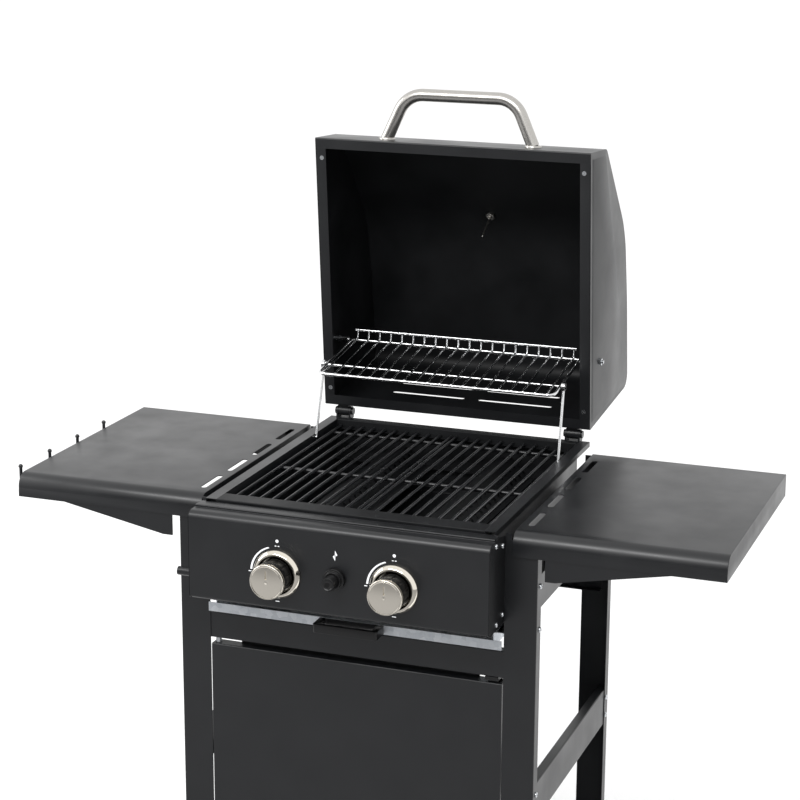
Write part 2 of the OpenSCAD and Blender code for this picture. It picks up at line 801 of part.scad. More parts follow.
// Spark electrode: a ceramic rod with a wire tip, on a clip round the left burner
module igniter_electrode() {
    x = -knob_x + burner_r + 12;
    y = box_y0 + 0.45*box_d;
    color("#e8d8cf") difference() {
        union() {
            bar_y(y - 5, y + 5, -knob_x, burner_z, burner_r + 1.5);
            block([-knob_x + burner_r - 2, y - 5, burner_z - 8], [x, y + 5, burner_z - 6]);
            bar_z(burner_z - 24, burner_z + 14, x, y, 4);
            bar_z(burner_z + 12, burner_z + 24, x, y, 1);
        }
        bar_y(y - 6, y + 6, -knob_x, burner_z, burner_r);
    }
}

// --- firebox ------------------------------------------------------------------------------

// Front wall, floor and rear wall in one folded sheet, open to the grease tray in the middle
module firebox_wrap() {
    mid = (box_y0 + box_y1)/2;
    top = rim_rise;
    color("#26272a") difference() {
        union() {
            along_x(-box_in, box_in) fold([
                [rim_y0, top - 10, 0], [rim_y0, top, 1.5], [box_y0, top, 1.5], [box_y0, box_z + 22, 3],
                [mid, box_z, 3], [box_y1, box_z + 22, 3], [box_y1, top, 1.5], [rim_y1, top, 1.5],
                [rim_y1, top - 8, 0]
            ], -sheet);
            for (z = [grate_ledge_z, tamer_foot_z]) {
                block([-box_in, box_y0 - sheet/2, z - sheet], [box_in, box_y0 + ledge, z]);
                block([-box_in, box_y1 - ledge, z - sheet], [box_in, box_y1 + sheet/2, z]);
            }
        }
        block([-drip_w/2, mid - drip_d/2, box_z - 10], [drip_w/2, mid + drip_d/2, box_z + 20]);
        for (s = [-1, 1]) bar_y(rim_y0, box_y0 + 5, s*knob_x, burner_z, neck_r + 1);
    }
}
// Side plate with a rim flange and a hole for the foot of the warming rack's leg
module firebox_side() {
    top = rim_rise;
    mid = (box_y0 + box_y1)/2;
    difference() {
        union() {
            along_x(box_in, box_in + sheet) polygon([
                [rim_y0, top], [rim_y0, top - 10], [box_y0 - sheet, top - 10],
                [box_y0 - sheet, box_z + 21], [mid, box_z - sheet], [box_y1 + sheet, box_z + 21],
                [box_y1 + sheet, top - 8], [rim_y1, top - 8], [rim_y1, top]
            ]);
            block([box_in, rim_y0, top - sheet], [box_w/2, rim_y1, top]);
            block([box_w/2 - sheet, rim_y0, top - 8], [box_w/2, rim_y1, top]);
        }
        bar_x(box_in - 1, box_in + 3, foot_y, foot_z, wire_r + pin_play);
    }
}
module firebox_left() {
    color("#26272a") mirror([1, 0, 0]) firebox_side();
}
module firebox_right() {
    color("#26272a") firebox_side();
}

// Pipe burner: a neck over the valve's nozzle, a closed pipe with rows of ports
module burner(s) {
    y0 = valve_back + 6;
    y1 = box_y1 - 22;
    neck_end = box_y0 + 24;
    color("#8f9193") translate([s*knob_x, 0, 0]) difference() {
        union() {
            bar_y(y0, neck_end, 0, burner_z, neck_r);
            bar_y(neck_end - 2, y1, 0, burner_z, burner_r);
            block([-8, y1 - 10, burner_z - 1.5], [8, box_y1, burner_z + 1.5]);
        }
        bar_y(y0 - 1, neck_end, 0, burner_z, neck_r - 1.5);
        bar_y(neck_end - 1, y1 - 2, 0, burner_z, burner_r - 1.5);
        for (y = [neck_end + 20:20:y1 - 15]) translate([0, y, burner_z]) for (a = [-50, 50])
            rotate([0, a, 0]) cylinder(h = burner_r + 2, r = 1.5);
        bar_x(-neck_r - 1, neck_r + 1, y0 + 14, burner_z, 4);
    }
}
module burner_left() {
    burner(-1);
}
module burner_right() {
    burner(1);
}

// Tent of perforated sheet over a burner
module flame_tamer(s) {
    slope = atan2(tamer_ridge_z - tamer_foot_z, tamer_half - 16);
    hole_pitch = 22;
    color("#3a3c3f") translate([s*knob_x, 0, 0]) difference() {
        along_y(box_y0 + 1.5, box_y1 - 1.5) fold([
            [-tamer_half, tamer_foot_z, 0], [-tamer_half + 8, tamer_foot_z, 1],
            [-8, tamer_ridge_z, 2], [8, tamer_ridge_z, 2],
            [tamer_half - 8, tamer_foot_z, 1], [tamer_half, tamer_foot_z, 0]
        ]);
        for (y = [box_y0 + 24:hole_pitch:box_y1 - 20]) for (m = [-1, 1])
            translate([m*(tamer_half/2), y, (tamer_ridge_z + tamer_foot_z)/2])
                rotate([0, m*slope, 0]) for (k = [-1, 1])
                    translate([k*9, (k + 1)*hole_pitch/4, -6]) cylinder(h = 14, r = 4);
    }
}
module flame_tamer_left() {
    flame_tamer(-1);
}
module flame_tamer_right() {
    flame_tamer(1);
}

// Cooking grate of long wires on three cross wires
module grate() {
    z = grate_top - grate_wire/2;
    bar = grate_bar/2;
    cross_z = grate_top - grate_wire - bar + 1.5;
    color("#1c1d1f") for (i = [0:grate_wires - 1])
        bar_y(box_y0 + 3, box_y1 - 3, grate_x0 + i*grate_pitch, z, grate_wire/2);
    color("#6c6e71") for (y = [box_y0 + 20, box_y0 + 0.43*box_d, box_y1 - 36])
        bar_x(grate_x0 - 1, grate_x1 + 1, y, cross_z, bar);
}
module grate_left() {
    mirror([1, 0, 0]) grate();
}
module grate_right() {
    grate();
}

// --- grease tray --------------------------------------------------------------------------

// Angles on the legs that the tray's rim flange slides on
module tray_runners() {
    z = tray_top - 2*sheet - gap;
    x = leg_in + sheet;
    color("#3a3b3e") both_sides() along_y(front_y + sheet, rear_y - sheet)
        fold([[leg_in - runner_lip, z, 0], [x, z, 1.5], [x, z + 20, 0]]);
}
// Folded tray, open at the top, with a rim flange at each side and a tall front strip
module grease_tray() {
    out = leg_in - runner_lip - sheet - 2*gap;
    deep = tray_top - tray_deep;
    y0 = -4;
    color("#cfd2d5") {
        along_y(y0 + sheet, tray_back) fold([
            [-tray_half + 2, tray_top, 0], [-out, tray_top, 1.5], [-out, deep, 2], [out, deep, 2],
            [out, tray_top, 1.5], [tray_half - 2, tray_top, 0]
        ], -sheet);
        block([-out, tray_back - sheet, deep - sheet], [out, tray_back, tray_top - 1]);
        block([-leg_in + 1, y0, strip_z0], [leg_in - 1, y0 + sheet, strip_z1]);
    }
}
// D-shaped pull on the tray's front strip
module tray_handle() {
    y0 = -4;
    z0 = strip_z0 + 0.5;
    half = 50;
    reach = 30;
    color("#151617") translate([0, 0, z0]) linear_extrude(tray_strip - 1) difference() {
        polygon(rounded_loop([
            [-half, y0, 0], [-half + 4, y0 - reach, 6], [half - 4, y0 - reach, 6], [half, y0, 0]
        ]));
        polygon(rounded_loop([
            [-half + 10, y0 - 3, 3], [-half + 12, y0 - reach + 9, 3],
            [half - 12, y0 - reach + 9, 3], [half - 10, y0 - 3, 3]
        ]));
    }
}

// --- cabinet door -------------------------------------------------------------------------

module cabinet_door() {
    back = front_y + door_t;
    color("#2c2d30") difference() {
        union() {
            along_x(-door_half, door_half) fold([
                [back, door_top, 0], [front_y, door_top, 2], [front_y, door_bot, 2], [back, door_bot, 0]
            ]);
            both_sides() block([door_half - sheet, front_y + sheet, door_bot + sheet],
                [door_half, back, door_top - sheet]);
            for (z = [door_bot, door_top - sheet - 5]) block([-door_half + 1, front_y + 1, z],
                [-door_half + 18, back, z + sheet + 5]);
            block([door_half - 30, back - 2, door_top - 45],
                [door_half - sheet/2, back, door_top - sheet/2]);
        }
        bar_z(door_bot - 1, door_top + 1, door_pin_x, door_pin_y, door_pin_r + pin_play);
    }
}
// Two pins with collars: one hangs from the cross panel, one stands on the bottom shelf
module door_hinge_pins() {
    color("#c9ccd0") {
        bar_z(door_top - 12, cross_bot + 6, door_pin_x, door_pin_y, door_pin_r);
        bar_z(cross_bot - 8.5, cross_bot, door_pin_x, door_pin_y, 4.5);
        bar_z(base_z - 6, door_bot + 12, door_pin_x, door_pin_y, door_pin_r);
        bar_z(base_z, base_z + 8.5, door_pin_x, door_pin_y, 4.5);
    }
}
// Magnet on an arm under the cross panel, behind the door's strike plate
module door_catch() {
    y = front_y + door_t + gap;
    color("#2a2b2c") {
        block([door_half - 26, front_y + sheet, cross_bot - 6], [door_half - 6, y + 10, cross_bot]);
        block([door_half - 26, y, door_top - 40], [door_half - 6, y + 10, cross_bot - 5]);
    }
}

// --- lid ----------------------------------------------------------------------------------

module open_lid() {
    translate([0, hinge_y, hinge_z]) rotate([-lid_open, 0, 0]) translate([0, -hinge_y, -hinge_z])
        children();
}
// The lid's outline is in (forward, up) from its rear rim corner
module lid_frame() {
    translate([0, lid_y, lid_z]) mirror([0, 1, 0]) children();
}
thermo_a = xy(lid_profile[2]);
thermo_b = xy(lid_profile[3]);
thermo_c = xy(lid_profile[4]);
thermo_lean = 29;
thermo_mid = arc_centre(thermo_a, thermo_b, thermo_c, lid_profile[3][2]);
module at_thermometer() {
    r = lid_profile[3][2];
    translate([0, thermo_mid[0] + r*sin(thermo_lean), thermo_mid[1] + r*cos(thermo_lean)])
        rotate([-thermo_lean, 0, 0]) children();
}
module lid_shell() {
    half = lid_half - lid_sheet;
    wall = concat([[lid_ledge, 0, 0], [0, 0, 2]], [for (i = [1:4]) lid_profile[i]],
        [[lid_d, 0, 2], [lid_d - lid_ledge, 0, 0]]);
    color("#2a2b2e") open_lid() lid_frame() difference() {
        along_x(-half, half) fold(wall, -lid_sheet);
        for (s = [-1, 1]) for (z = [85, 132]) translate([s*75, 5, z]) rotate([90, 0, 0])
            long_slot(126, 9, 10);
        at_thermometer() translate([0, 0, -10]) cylinder(h = 20, r = 4);
        for (s = [-1, 1]) translate([s*handle_w/2, 0, 0]) at_handle() translate([0, 0, -8])
            cylinder(h = 12, r = 3);
    }
}
module lid_side() {
    half = lid_half;
    open_lid() lid_frame() {
        along_x(half - lid_sheet, half) polygon(rounded_loop(lid_profile));
        block([half - lid_ledge, lid_ledge, 0], [half, lid_d - lid_ledge, lid_sheet]);
    }
}
// The pivot bolts pass through both side plates
module pivot_hole() {
    bar_x(-lid_half - 1, lid_half + 1, rack_y, rack_z, bolt_r);
}
module lid_side_left() {
    color("#2a2b2e") difference() {
        mirror([1, 0, 0]) lid_side();
        pivot_hole();
    }
}
module lid_side_right() {
    color("#2a2b2e") difference() {
        lid_side();
        pivot_hole();
    }
}

// Frame of a handle foot: origin on the front wall, +Z along its outward normal
module at_handle() {
    h = lid_front_h*0.48;
    s = lid_d - h*tan(front_lean);
    translate([0, s, h]) rotate([front_lean - 90, 0, 0]) mirror([0, 1, 0]) children();
}
module lid_handle() {
    r = handle_tube/2;
    half = handle_w/2;
    in = handle_reach*tan(24);
    color("#b8babd") open_lid() lid_frame() at_handle() rotate([90, 0, 0]) smooth_rod([
        [-half, 1, 0], [-half + in, handle_reach, 42], [half - in, handle_reach, 42], [half, 1, 0]
    ], r);
    color("#9a9c9e") open_lid() lid_frame() at_handle() for (s = [-1, 1]) translate([s*half, 0, 0])
        cylinder(h = 3, r = r + 3);
}

// Dial outside, stem and nut inside
module lid_thermometer() {
    color("#c4c6c8") open_lid() lid_frame() at_thermometer() {
        translate([0, 0, 3]) rotate_extrude($fn = 72) polygon(rounded_loop([
            [0, 0, 0], [22, 0, 0], [29, 6, 3], [29, 13, 2], [25, 13, 1], [24, 11, 0], [0, 11, 0]
        ]));
        cylinder(h = 4, r = 9);
        translate([0, 0, -10]) cylinder(h = 11, r = 4);
        translate([0, 0, -lid_sheet - 5]) cylinder(h = 5, r = 9, $fn = 6);
        translate([0, 0, -52]) cylinder(h = 43, r = 3);
    }
}

// Knuckles on the hinge pins, with a plate on the lid's rear wall
module lid_hinge_arms() {
    w = knuckle_w/2;
    color("#1f2022") open_lid() both_sides() difference() {
        union() {
            bar_x(hinge_x - w, hinge_x + w, hinge_y, hinge_z, knuckle_r);
            block([hinge_x - w, lid_y, hinge_z - 4], [hinge_x + w, hinge_y, hinge_z + 4]);
            block([hinge_x - w, lid_y, lid_z + 4], [hinge_x + w, lid_y + 2.5, lid_z + 44]);
        }
        bar_x(hinge_x - w - 1, hinge_x + w + 1, hinge_y, hinge_z, hinge_pin_r + pin_play);
    }
}
// Channels on the firebox rim that hold the hinge pins
module hinge_brackets() {
    w = knuckle_w/2 + 0.5;
    t = 3;
    y0 = hinge_y - 8;
    color("#1f2022") both_sides() {
        for (x = [hinge_x - w - t, hinge_x + w]) difference() {
            union() {
                block([x, y0, rim_rise], [x + t, hinge_y + 8, hinge_z]);
                bar_x(x, x + t, hinge_y, hinge_z, 8);
            }
            bar_x(x - 1, x + t + 1, hinge_y, hinge_z, hinge_pin_r);
        }
        block([hinge_x - w - t, y0, rim_rise], [hinge_x + w + t, hinge_y + 8, rim_rise + 2]);
    }
    color("#c9ccd0") both_sides() {
        bar_x(hinge_x - w - t - 3, hinge_x + w + t + 3, hinge_y, hinge_z, hinge_pin_r);
        for (x = [hinge_x - w - t - 3, hinge_x + w + t]) bar_x(x, x + 3, hinge_y, hinge_z, hinge_pin_r + 2);
    }
}

// Pivot bolts of the warming rack, and rubber buffers on the rim flange
module lid_fixings() {
    color("#b0b3b7") both_sides() {
        bar_x(eye_x - 3 + gap, lid_half + 8, rack_y, rack_z, bolt_r);
        translate([lid_half, rack_y, rack_z]) rotate([0, 90, 0]) cylinder(h = 5, r = 6, $fn = 6);
        bar_x(eye_x + 2.5 + gap, lid_half - lid_sheet, rack_y, rack_z, bolt_r + 2.5);
    }
    color("#141414") open_lid() lid_frame() both_sides() for (s = [30, lid_d - 32])
        translate([lid_half - lid_ledge/2 - 2, s, -0.5]) cylinder(h = lid_sheet + 3, r = 3.5);
}

// --- warming rack -------------------------------------------------------------------------

// The rack's own frame: x across, y forward along its slope, z up from its pivot
module rack_frame() {
    translate([0, rack_y, rack_z]) rotate([rack_slope, 0, 0]) mirror([0, 1, 0]) children();
}
module warming_rack() {
    r = rack_frame_r;
    thin = 1.5;
    rise = 17;
    half = rack_half;
    field = half - 10;
    pitch = 2*field/(rack_wires - 1);
    color("#d9dadb") rack_frame() {
        difference() {
            union() {
                bar_x(-eye_x, eye_x, 0, 0, r);
                both_sides() bar_x(eye_x - 7, eye_x + 2.5, 0, 0, 6);
            }
            both_sides() bar_x(eye_x - 3, eye_x + 3, 0, 0, bolt_r + pin_play);
        }
        bent_rod([[-half, 0, 0], [-half, rack_d, 12], [half, rack_d, 12], [half, 0, 0]], r);
        bar_x(-ring_x - ring_w/2 - 1, ring_x + ring_w/2 + 1, rack_span, 0, wire_r);
        bar_x(-field - 4, field + 4, -3, rise, wire_r);
        for (i = [0:rack_wires - 1]) translate([-field + i*pitch, 0, 0]) {
            bar_y(0, rack_d, 0, 2.6, thin);
            bar_between([0, 0, 2.6], [0, -3.6, rise + 2], thin);
            translate([0, 0, 2.6]) sphere(r = thin + 0.2);
        }
    }
}
// Two wire legs: a foot pin in the firebox side and a loose eye round the rack's cross bar
module rack_legs() {
    color("#d9dadb") both_sides() {
        bar_x(foot_x, box_in + sheet + 3, foot_y, foot_z, wire_r);
        translate([foot_x, foot_y, foot_z]) sphere(r = wire_r + 0.25);
        bar_between([foot_x, foot_y, foot_z],
            [ring_x, head_y - 6*sin(leg_turn), head_z - 6*cos(leg_turn)], wire_r);
        difference() {
            bar_x(ring_x - ring_w/2, ring_x + ring_w/2, head_y, head_z, 7);
            bar_x(ring_x - ring_w, ring_x + ring_w, head_y, head_z, 4);
        }
    }
}

// --- the pieces ---------------------------------------------------------------------------

place() leg_front_left();
place() leg_front_right();
place() leg_rear_left();
place() leg_rear_right();
place() side_rails_upper();
place() side_rails_lower();
place() front_cross_panel();
place() rear_crossbar();
place() bottom_shelf();
place() wheel_axle();
place() foot_caps();
place() cart_bolts();
place() side_shelf_left();
place() side_shelf_right();
place() shelf_brackets();
place() tool_hooks();
place() control_panel();
place() panel_ends();
place() knob_bezels();
place() gas_manifold();
place() gas_valves();
place() gas_inlet();
place() igniter_body();
place() igniter_electrode();
place() firebox_wrap();
place() firebox_left();
place() firebox_right();
place() burner_left();
place() burner_right();
place() flame_tamer_left();
place() flame_tamer_right();
place() grate_left();
place() grate_right();
place() tray_runners();
place() hinge_brackets();
place() door_hinge_pins();
place() door_catch();
place() lid_shell();
place() lid_side_left();
place() lid_side_right();
place() lid_handle();
place() lid_thermometer();
place() lid_hinge_arms();
place() lid_fixings();
place() warming_rack();
place() rack_legs();
place() valve_plug_left();
place() valve_plug_right();
place() valve_stem_left();
place() valve_stem_right();
place() knob_left();
place() knob_right();
place() knob_cap_left();
place() knob_cap_right();
place() igniter_button();
place() grease_tray();
place() tray_handle();
place() cabinet_door();
place() wheel_front();
place() wheel_rear();
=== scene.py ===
# %% [markdown]
# # A gas barbecue grill on a cart
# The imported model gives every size, joint and body of the grill. This file gives it its looks.
# The first cells load the frame, the camera and the light. Then each piece whose real surface is
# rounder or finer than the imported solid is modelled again, in the same place, and the last cells
# paint everything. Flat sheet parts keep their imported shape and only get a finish.

# %% Load the frame
import json
import math

import bmesh
import bpy
from mathutils import Matrix, Vector

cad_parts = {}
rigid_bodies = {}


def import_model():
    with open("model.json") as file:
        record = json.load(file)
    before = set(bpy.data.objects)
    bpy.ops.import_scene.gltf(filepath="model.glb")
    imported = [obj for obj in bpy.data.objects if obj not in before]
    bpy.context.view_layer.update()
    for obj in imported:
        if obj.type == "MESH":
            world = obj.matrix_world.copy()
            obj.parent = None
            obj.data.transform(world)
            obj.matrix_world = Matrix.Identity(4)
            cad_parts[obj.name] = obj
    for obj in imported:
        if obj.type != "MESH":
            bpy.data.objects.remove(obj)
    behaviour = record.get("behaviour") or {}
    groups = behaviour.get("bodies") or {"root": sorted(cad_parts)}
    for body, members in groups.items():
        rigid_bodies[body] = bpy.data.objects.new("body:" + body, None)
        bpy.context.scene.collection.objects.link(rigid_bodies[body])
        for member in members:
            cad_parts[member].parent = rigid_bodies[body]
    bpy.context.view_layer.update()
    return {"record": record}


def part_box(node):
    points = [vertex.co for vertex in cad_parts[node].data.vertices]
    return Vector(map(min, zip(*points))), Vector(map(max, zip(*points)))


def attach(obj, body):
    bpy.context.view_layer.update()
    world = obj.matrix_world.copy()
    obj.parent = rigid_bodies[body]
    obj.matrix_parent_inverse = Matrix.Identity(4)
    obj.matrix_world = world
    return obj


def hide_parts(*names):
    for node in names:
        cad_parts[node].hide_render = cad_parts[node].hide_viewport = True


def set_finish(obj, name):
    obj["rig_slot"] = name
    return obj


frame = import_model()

MM = 0.001
scene = bpy.context.scene
scene.view_settings.view_transform = "Standard"

# %% [markdown]
# Every size below is in millimetres, measured from the middle of the cart, the front faces of the
# side shelves and their tops. The left shelf's box gives that point in the frame.

# %% The point that sizes are measured from
shelf_low, shelf_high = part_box("side_shelf_left")
ORIGIN = Vector((0.0, shelf_low.y, shelf_high.z))


def in_mm(point):
    return (point - ORIGIN) / MM


print("origin", [round(v, 4) for v in ORIGIN])

# %% [markdown]
# The camera stands in front of the grill, to its right and above the shelves, and looks down at
# it. A long lens keeps the verticals nearly parallel.

# %% Camera
AZIMUTH = math.radians(20.19)
PITCH = math.radians(14.88)
ROLL = math.radians(0.28)
camera_data = bpy.data.cameras.new("camera")
camera_data.sensor_width = 36.0
camera_data.lens = 97.75
camera_data.clip_end = 60.0
camera = bpy.data.objects.new("camera", camera_data)
scene.collection.objects.link(camera)
scene.camera = camera
looking = Vector((
    -math.sin(AZIMUTH) * math.cos(PITCH),
    math.cos(AZIMUTH) * math.cos(PITCH),
    -math.sin(PITCH),
))
across = Vector((math.cos(AZIMUTH), math.sin(AZIMUTH), 0.0))
upward = across.cross(looking)
camera_x = across * math.cos(ROLL) + upward * math.sin(ROLL)
camera_y = upward * math.cos(ROLL) - across * math.sin(ROLL)
turned = Matrix((camera_x, camera_y, -looking)).transposed()
camera.matrix_world = Matrix.Translation((1.08684, -3.04847, 1.75724)) @ turned.to_4x4()
print("camera looks along", [round(v, 3) for v in looking])

# %% [markdown]
# Black satin metal has little colour of its own: what the eye sees is the room in it. So the room
# is a white studio with a dark end. The sky and the floor are white, and they lie in the shelf
# tops. A grey cloth on the floor in front and a dark wall behind it lie in the panel, the door and
# the legs, and keep them black. Both are seen only in reflections. One wide soft box hangs over
# the front and draws the bright line on every rolled edge, and a second one at the left lights the
# left faces.

# %% Floor, sky and soft boxes
def start(adder, name, **settings):
    """Adds a primitive with nothing else selected, and names it."""
    bpy.ops.object.select_all(action="DESELECT")
    adder(**settings)
    piece = bpy.context.object
    piece.name = name
    piece.data.name = name
    return piece


def soft_box(name, stands, faces, width, height, watts):
    lamp = bpy.data.lights.new(name, "AREA")
    lamp.shape = "RECTANGLE"
    lamp.size = width
    lamp.size_y = height
    lamp.energy = watts
    box = bpy.data.objects.new(name, lamp)
    scene.collection.objects.link(box)
    aim = (Vector(faces) - Vector(stands)).to_track_quat("-Z", "Y").to_matrix().to_4x4()
    box.matrix_world = Matrix.Translation(stands) @ aim
    return box


floor = start(bpy.ops.mesh.primitive_plane_add, "studio_floor", size=160)
sky = bpy.data.worlds.new("white_studio")
scene.world = sky
sky.use_nodes = True
sky.node_tree.nodes["Background"].inputs["Color"].default_value = (1.0, 1.0, 1.0, 1.0)
sky.node_tree.nodes["Background"].inputs["Strength"].default_value = 1.06
for name, height, lean, stands in (
    ("dark_cloth", 7.0, 0.0, (0.0, -3.9, 0.002)), ("dark_wall", 2.6, math.pi / 2, (0.0, -7.4, 1.3)),
):
    flag = start(bpy.ops.mesh.primitive_plane_add, name, size=1)
    flag.matrix_world = (Matrix.Translation(stands) @ Matrix.Rotation(lean, 4, "X")
                         @ Matrix.Diagonal((11.0, height, 1.0, 1.0)))
    bpy.ops.object.transform_apply(location=True, rotation=True, scale=True)
    flag.visible_camera = flag.visible_diffuse = flag.visible_shadow = False
soft_box("front_box", (-0.3, -2.2, 2.9), (0.0, -0.3, 0.8), 2.4, 0.5, 55)
soft_box("left_box", (-2.8, -0.6, 1.9), (0.0, 0.0, 0.8), 0.9, 1.6, 30)

# %% [markdown]
# A few tools do for every piece what a hand does in edit mode: choose faces or edges by where they
# are, round an edge, cut a hole with another solid, and finish.

# %% Tools for edit mode
def take(piece):
    """Makes one piece the only selected and the active one."""
    bpy.ops.object.select_all(action="DESELECT")
    bpy.context.view_layer.objects.active = piece
    piece.select_set(True)


def open_mesh(piece):
    take(piece)
    bpy.ops.object.mode_set(mode="EDIT")
    bpy.ops.mesh.select_all(action="SELECT")


def close_mesh():
    bpy.ops.object.mode_set(mode="OBJECT")


def open_block(name, size, middle=(0, 0, 0)):
    """A box of the given size and place, left in edit mode for more work."""
    block = start(bpy.ops.mesh.primitive_cube_add, name, size=1, location=(0, 0, 0))
    open_mesh(block)
    bpy.ops.transform.resize(value=size, center_override=(0, 0, 0))
    bpy.ops.transform.translate(value=middle)
    return block


def stretch(piece, width, length):
    open_mesh(piece)
    bpy.ops.transform.resize(value=(width, length, 1), center_override=(0, 0, 0))
    close_mesh()


def choose_faces(piece, wanted):
    """Selects the faces whose middle and normal pass the test, in edit mode."""
    bpy.ops.mesh.select_mode(type="FACE")
    bpy.ops.mesh.select_all(action="DESELECT")
    mesh = bmesh.from_edit_mesh(piece.data)
    chosen = [f for f in mesh.faces if wanted(f.calc_center_median(), f.normal)]
    for face in chosen:
        face.select_set(True)
    bmesh.update_edit_mesh(piece.data)


def choose_edges(piece, wanted):
    """Selects the edges whose two ends pass the test, in edit mode."""
    bpy.ops.mesh.select_mode(type="EDGE")
    bpy.ops.mesh.select_all(action="DESELECT")
    mesh = bmesh.from_edit_mesh(piece.data)
    chosen = [e for e in mesh.edges if wanted(e.verts[0].co, e.verts[1].co)]
    for edge in chosen:
        edge.select_set(True)
    mesh.select_flush_mode()
    bmesh.update_edit_mesh(piece.data)


def near(a, b, slack=0.02):
    return abs(a - b) < slack


def round_edges(radius, steps=6):
    bpy.ops.mesh.bevel(offset=radius, segments=steps, affect="EDGES", offset_type="OFFSET")


def apply_modifier(piece, kind, **settings):
    take(piece)
    modifier = piece.modifiers.new(kind.lower(), kind)
    for key, value in settings.items():
        setattr(modifier, key, value)
    bpy.ops.object.modifier_apply(modifier=modifier.name)


def cut(piece, cutter, operation="DIFFERENCE"):
    apply_modifier(piece, "BOOLEAN", object=cutter, operation=operation, solver="EXACT")
    bpy.data.objects.remove(cutter)


def recalculate(piece):
    open_mesh(piece)
    bpy.ops.mesh.remove_doubles(threshold=0.001)
    bpy.ops.mesh.normals_make_consistent(inside=False)
    close_mesh()


def copy_piece(piece, name):
    other = piece.copy()
    other.data = piece.data.copy()
    other.name = name
    other.data.name = name
    scene.collection.objects.link(other)
    return other


def mirrored(piece, name):
    """A copy on the other side of the cart, with its own mesh."""
    other = copy_piece(piece, name)
    open_mesh(other)
    bpy.ops.transform.mirror(orient_type="GLOBAL", constraint_axis=(True, False, False),
                             center_override=(0, 0, 0))
    bpy.ops.mesh.flip_normals()
    close_mesh()
    return other


def join(pieces, name):
    bpy.ops.object.select_all(action="DESELECT")
    for piece in pieces:
        piece.select_set(True)
    bpy.context.view_layer.objects.active = pieces[0]
    bpy.ops.object.join()
    pieces[0].name = name
    pieces[0].data.name = name
    return pieces[0]


def finish(piece, body, slot, replaced=(), matrix=None, angle=35):
    """Puts a piece drawn in millimetres into the frame, shades it and hands it to its body."""
    to_frame = Matrix.Translation(ORIGIN) @ Matrix.Scale(MM, 4) @ (matrix or Matrix())
    take(piece)
    piece.matrix_world = to_frame @ piece.matrix_world
    bpy.ops.object.transform_apply(location=True, rotation=True, scale=True)
    bpy.ops.object.shade_smooth_by_angle(angle=math.radians(angle))
    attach(piece, body)
    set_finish(piece, slot)
    for node in replaced:
        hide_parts(node)
    print(piece.name, len(piece.data.polygons), "faces on", body)
    return piece


# %% [markdown]
# Most of the grill is folded sheet. A fold is drawn as a strip: a plane is stretched over its
# first flat, its last edge is pulled out from flat to flat, and then each fold line is bevelled
# to the radius of the press tool. Solidify gives the strip the thickness of the sheet.

# %% Folded sheet and turned parts
def folded_sheet(name, corners, low_x, high_x, thickness, outward=1):
    """Corners are (y, z, radius) of the sheet's outer face."""
    sheet = start(bpy.ops.mesh.primitive_plane_add, name, size=1)
    open_mesh(sheet)
    bpy.ops.transform.resize(value=(high_x - low_x, 1, 1), center_override=(0, 0, 0))
    bpy.ops.transform.translate(value=((low_x + high_x) / 2, 0, 0))
    y0, z0, _ = corners[0]
    y1, z1, _ = corners[1]
    choose_edges(sheet, lambda a, b: a.y < 0 and b.y < 0)
    bpy.ops.transform.translate(value=(0, y0 + 0.5, z0))
    choose_edges(sheet, lambda a, b: all(near(p.y, 0.5) and near(p.z, 0) for p in (a, b)))
    bpy.ops.transform.translate(value=(0, y1 - 0.5, z1))
    last = corners[1]
    for corner in corners[2:]:
        step = (0, corner[0] - last[0], corner[1] - last[1])
        bpy.ops.mesh.extrude_region_move(TRANSFORM_OT_translate={"value": step})
        last = corner
    for before, here, after in zip(corners, corners[1:], corners[2:]):
        if here[2] <= 0:
            continue
        arriving = Vector((here[0] - before[0], here[1] - before[1]))
        leaving = Vector((after[0] - here[0], after[1] - here[1]))
        bend = arriving.angle(leaving)
        choose_edges(sheet, lambda a, b: all(
            near(p.y, here[0]) and near(p.z, here[1]) for p in (a, b)))
        round_edges(here[2] * math.tan(bend / 2), max(3, math.ceil(math.degrees(bend) / 9)))
    bpy.ops.mesh.select_all(action="SELECT")
    bpy.ops.mesh.remove_doubles(threshold=0.001)
    close_mesh()
    apply_modifier(sheet, "SOLIDIFY", thickness=thickness, offset=-outward, use_even_offset=True)
    recalculate(sheet)
    return sheet


def turned_part(name, profile, sides=96):
    """A closed profile of (radius, height) turned about Z, ring by ring."""
    radius, height = profile[0]
    part = start(bpy.ops.mesh.primitive_circle_add, name, vertices=sides, radius=max(radius, 0.01),
                 location=(0, 0, 0))
    open_mesh(part)
    bpy.ops.transform.translate(value=(0, 0, height))
    for new_radius, new_height in profile[1:]:
        ratio = max(new_radius, 0.01) / max(radius, 0.01)
        rise = (0, 0, new_height - height)
        bpy.ops.mesh.extrude_region_move(TRANSFORM_OT_translate={"value": rise})
        bpy.ops.transform.resize(value=(ratio, ratio, 1), center_override=(0, 0, new_height))
        radius, height = new_radius, new_height
    bpy.ops.mesh.select_all(action="SELECT")
    bpy.ops.mesh.remove_doubles(threshold=0.02)
    bpy.ops.mesh.normals_make_consistent(inside=False)
    close_mesh()
    return part


def rounded(piece, width, steps=3, limit=30):
    apply_modifier(piece, "BEVEL", width=width, segments=steps, limit_method="ANGLE",
                   angle_limit=math.radians(limit), harden_normals=False)


def slot_cutter(length, width, depth, middle):
    """A rounded bar along Y that cuts a vent slot."""
    cutter = open_block("slot_cutter", (width, length, depth))
    choose_edges(cutter, lambda a, b: near(a.x, b.x) and near(a.y, b.y))
    round_edges(width / 2 - 0.01, 8)
    close_mesh()
    cutter.location = middle
    return cutter


SHEET = 1.2
print("tools ready, sheet", SHEET, "mm")

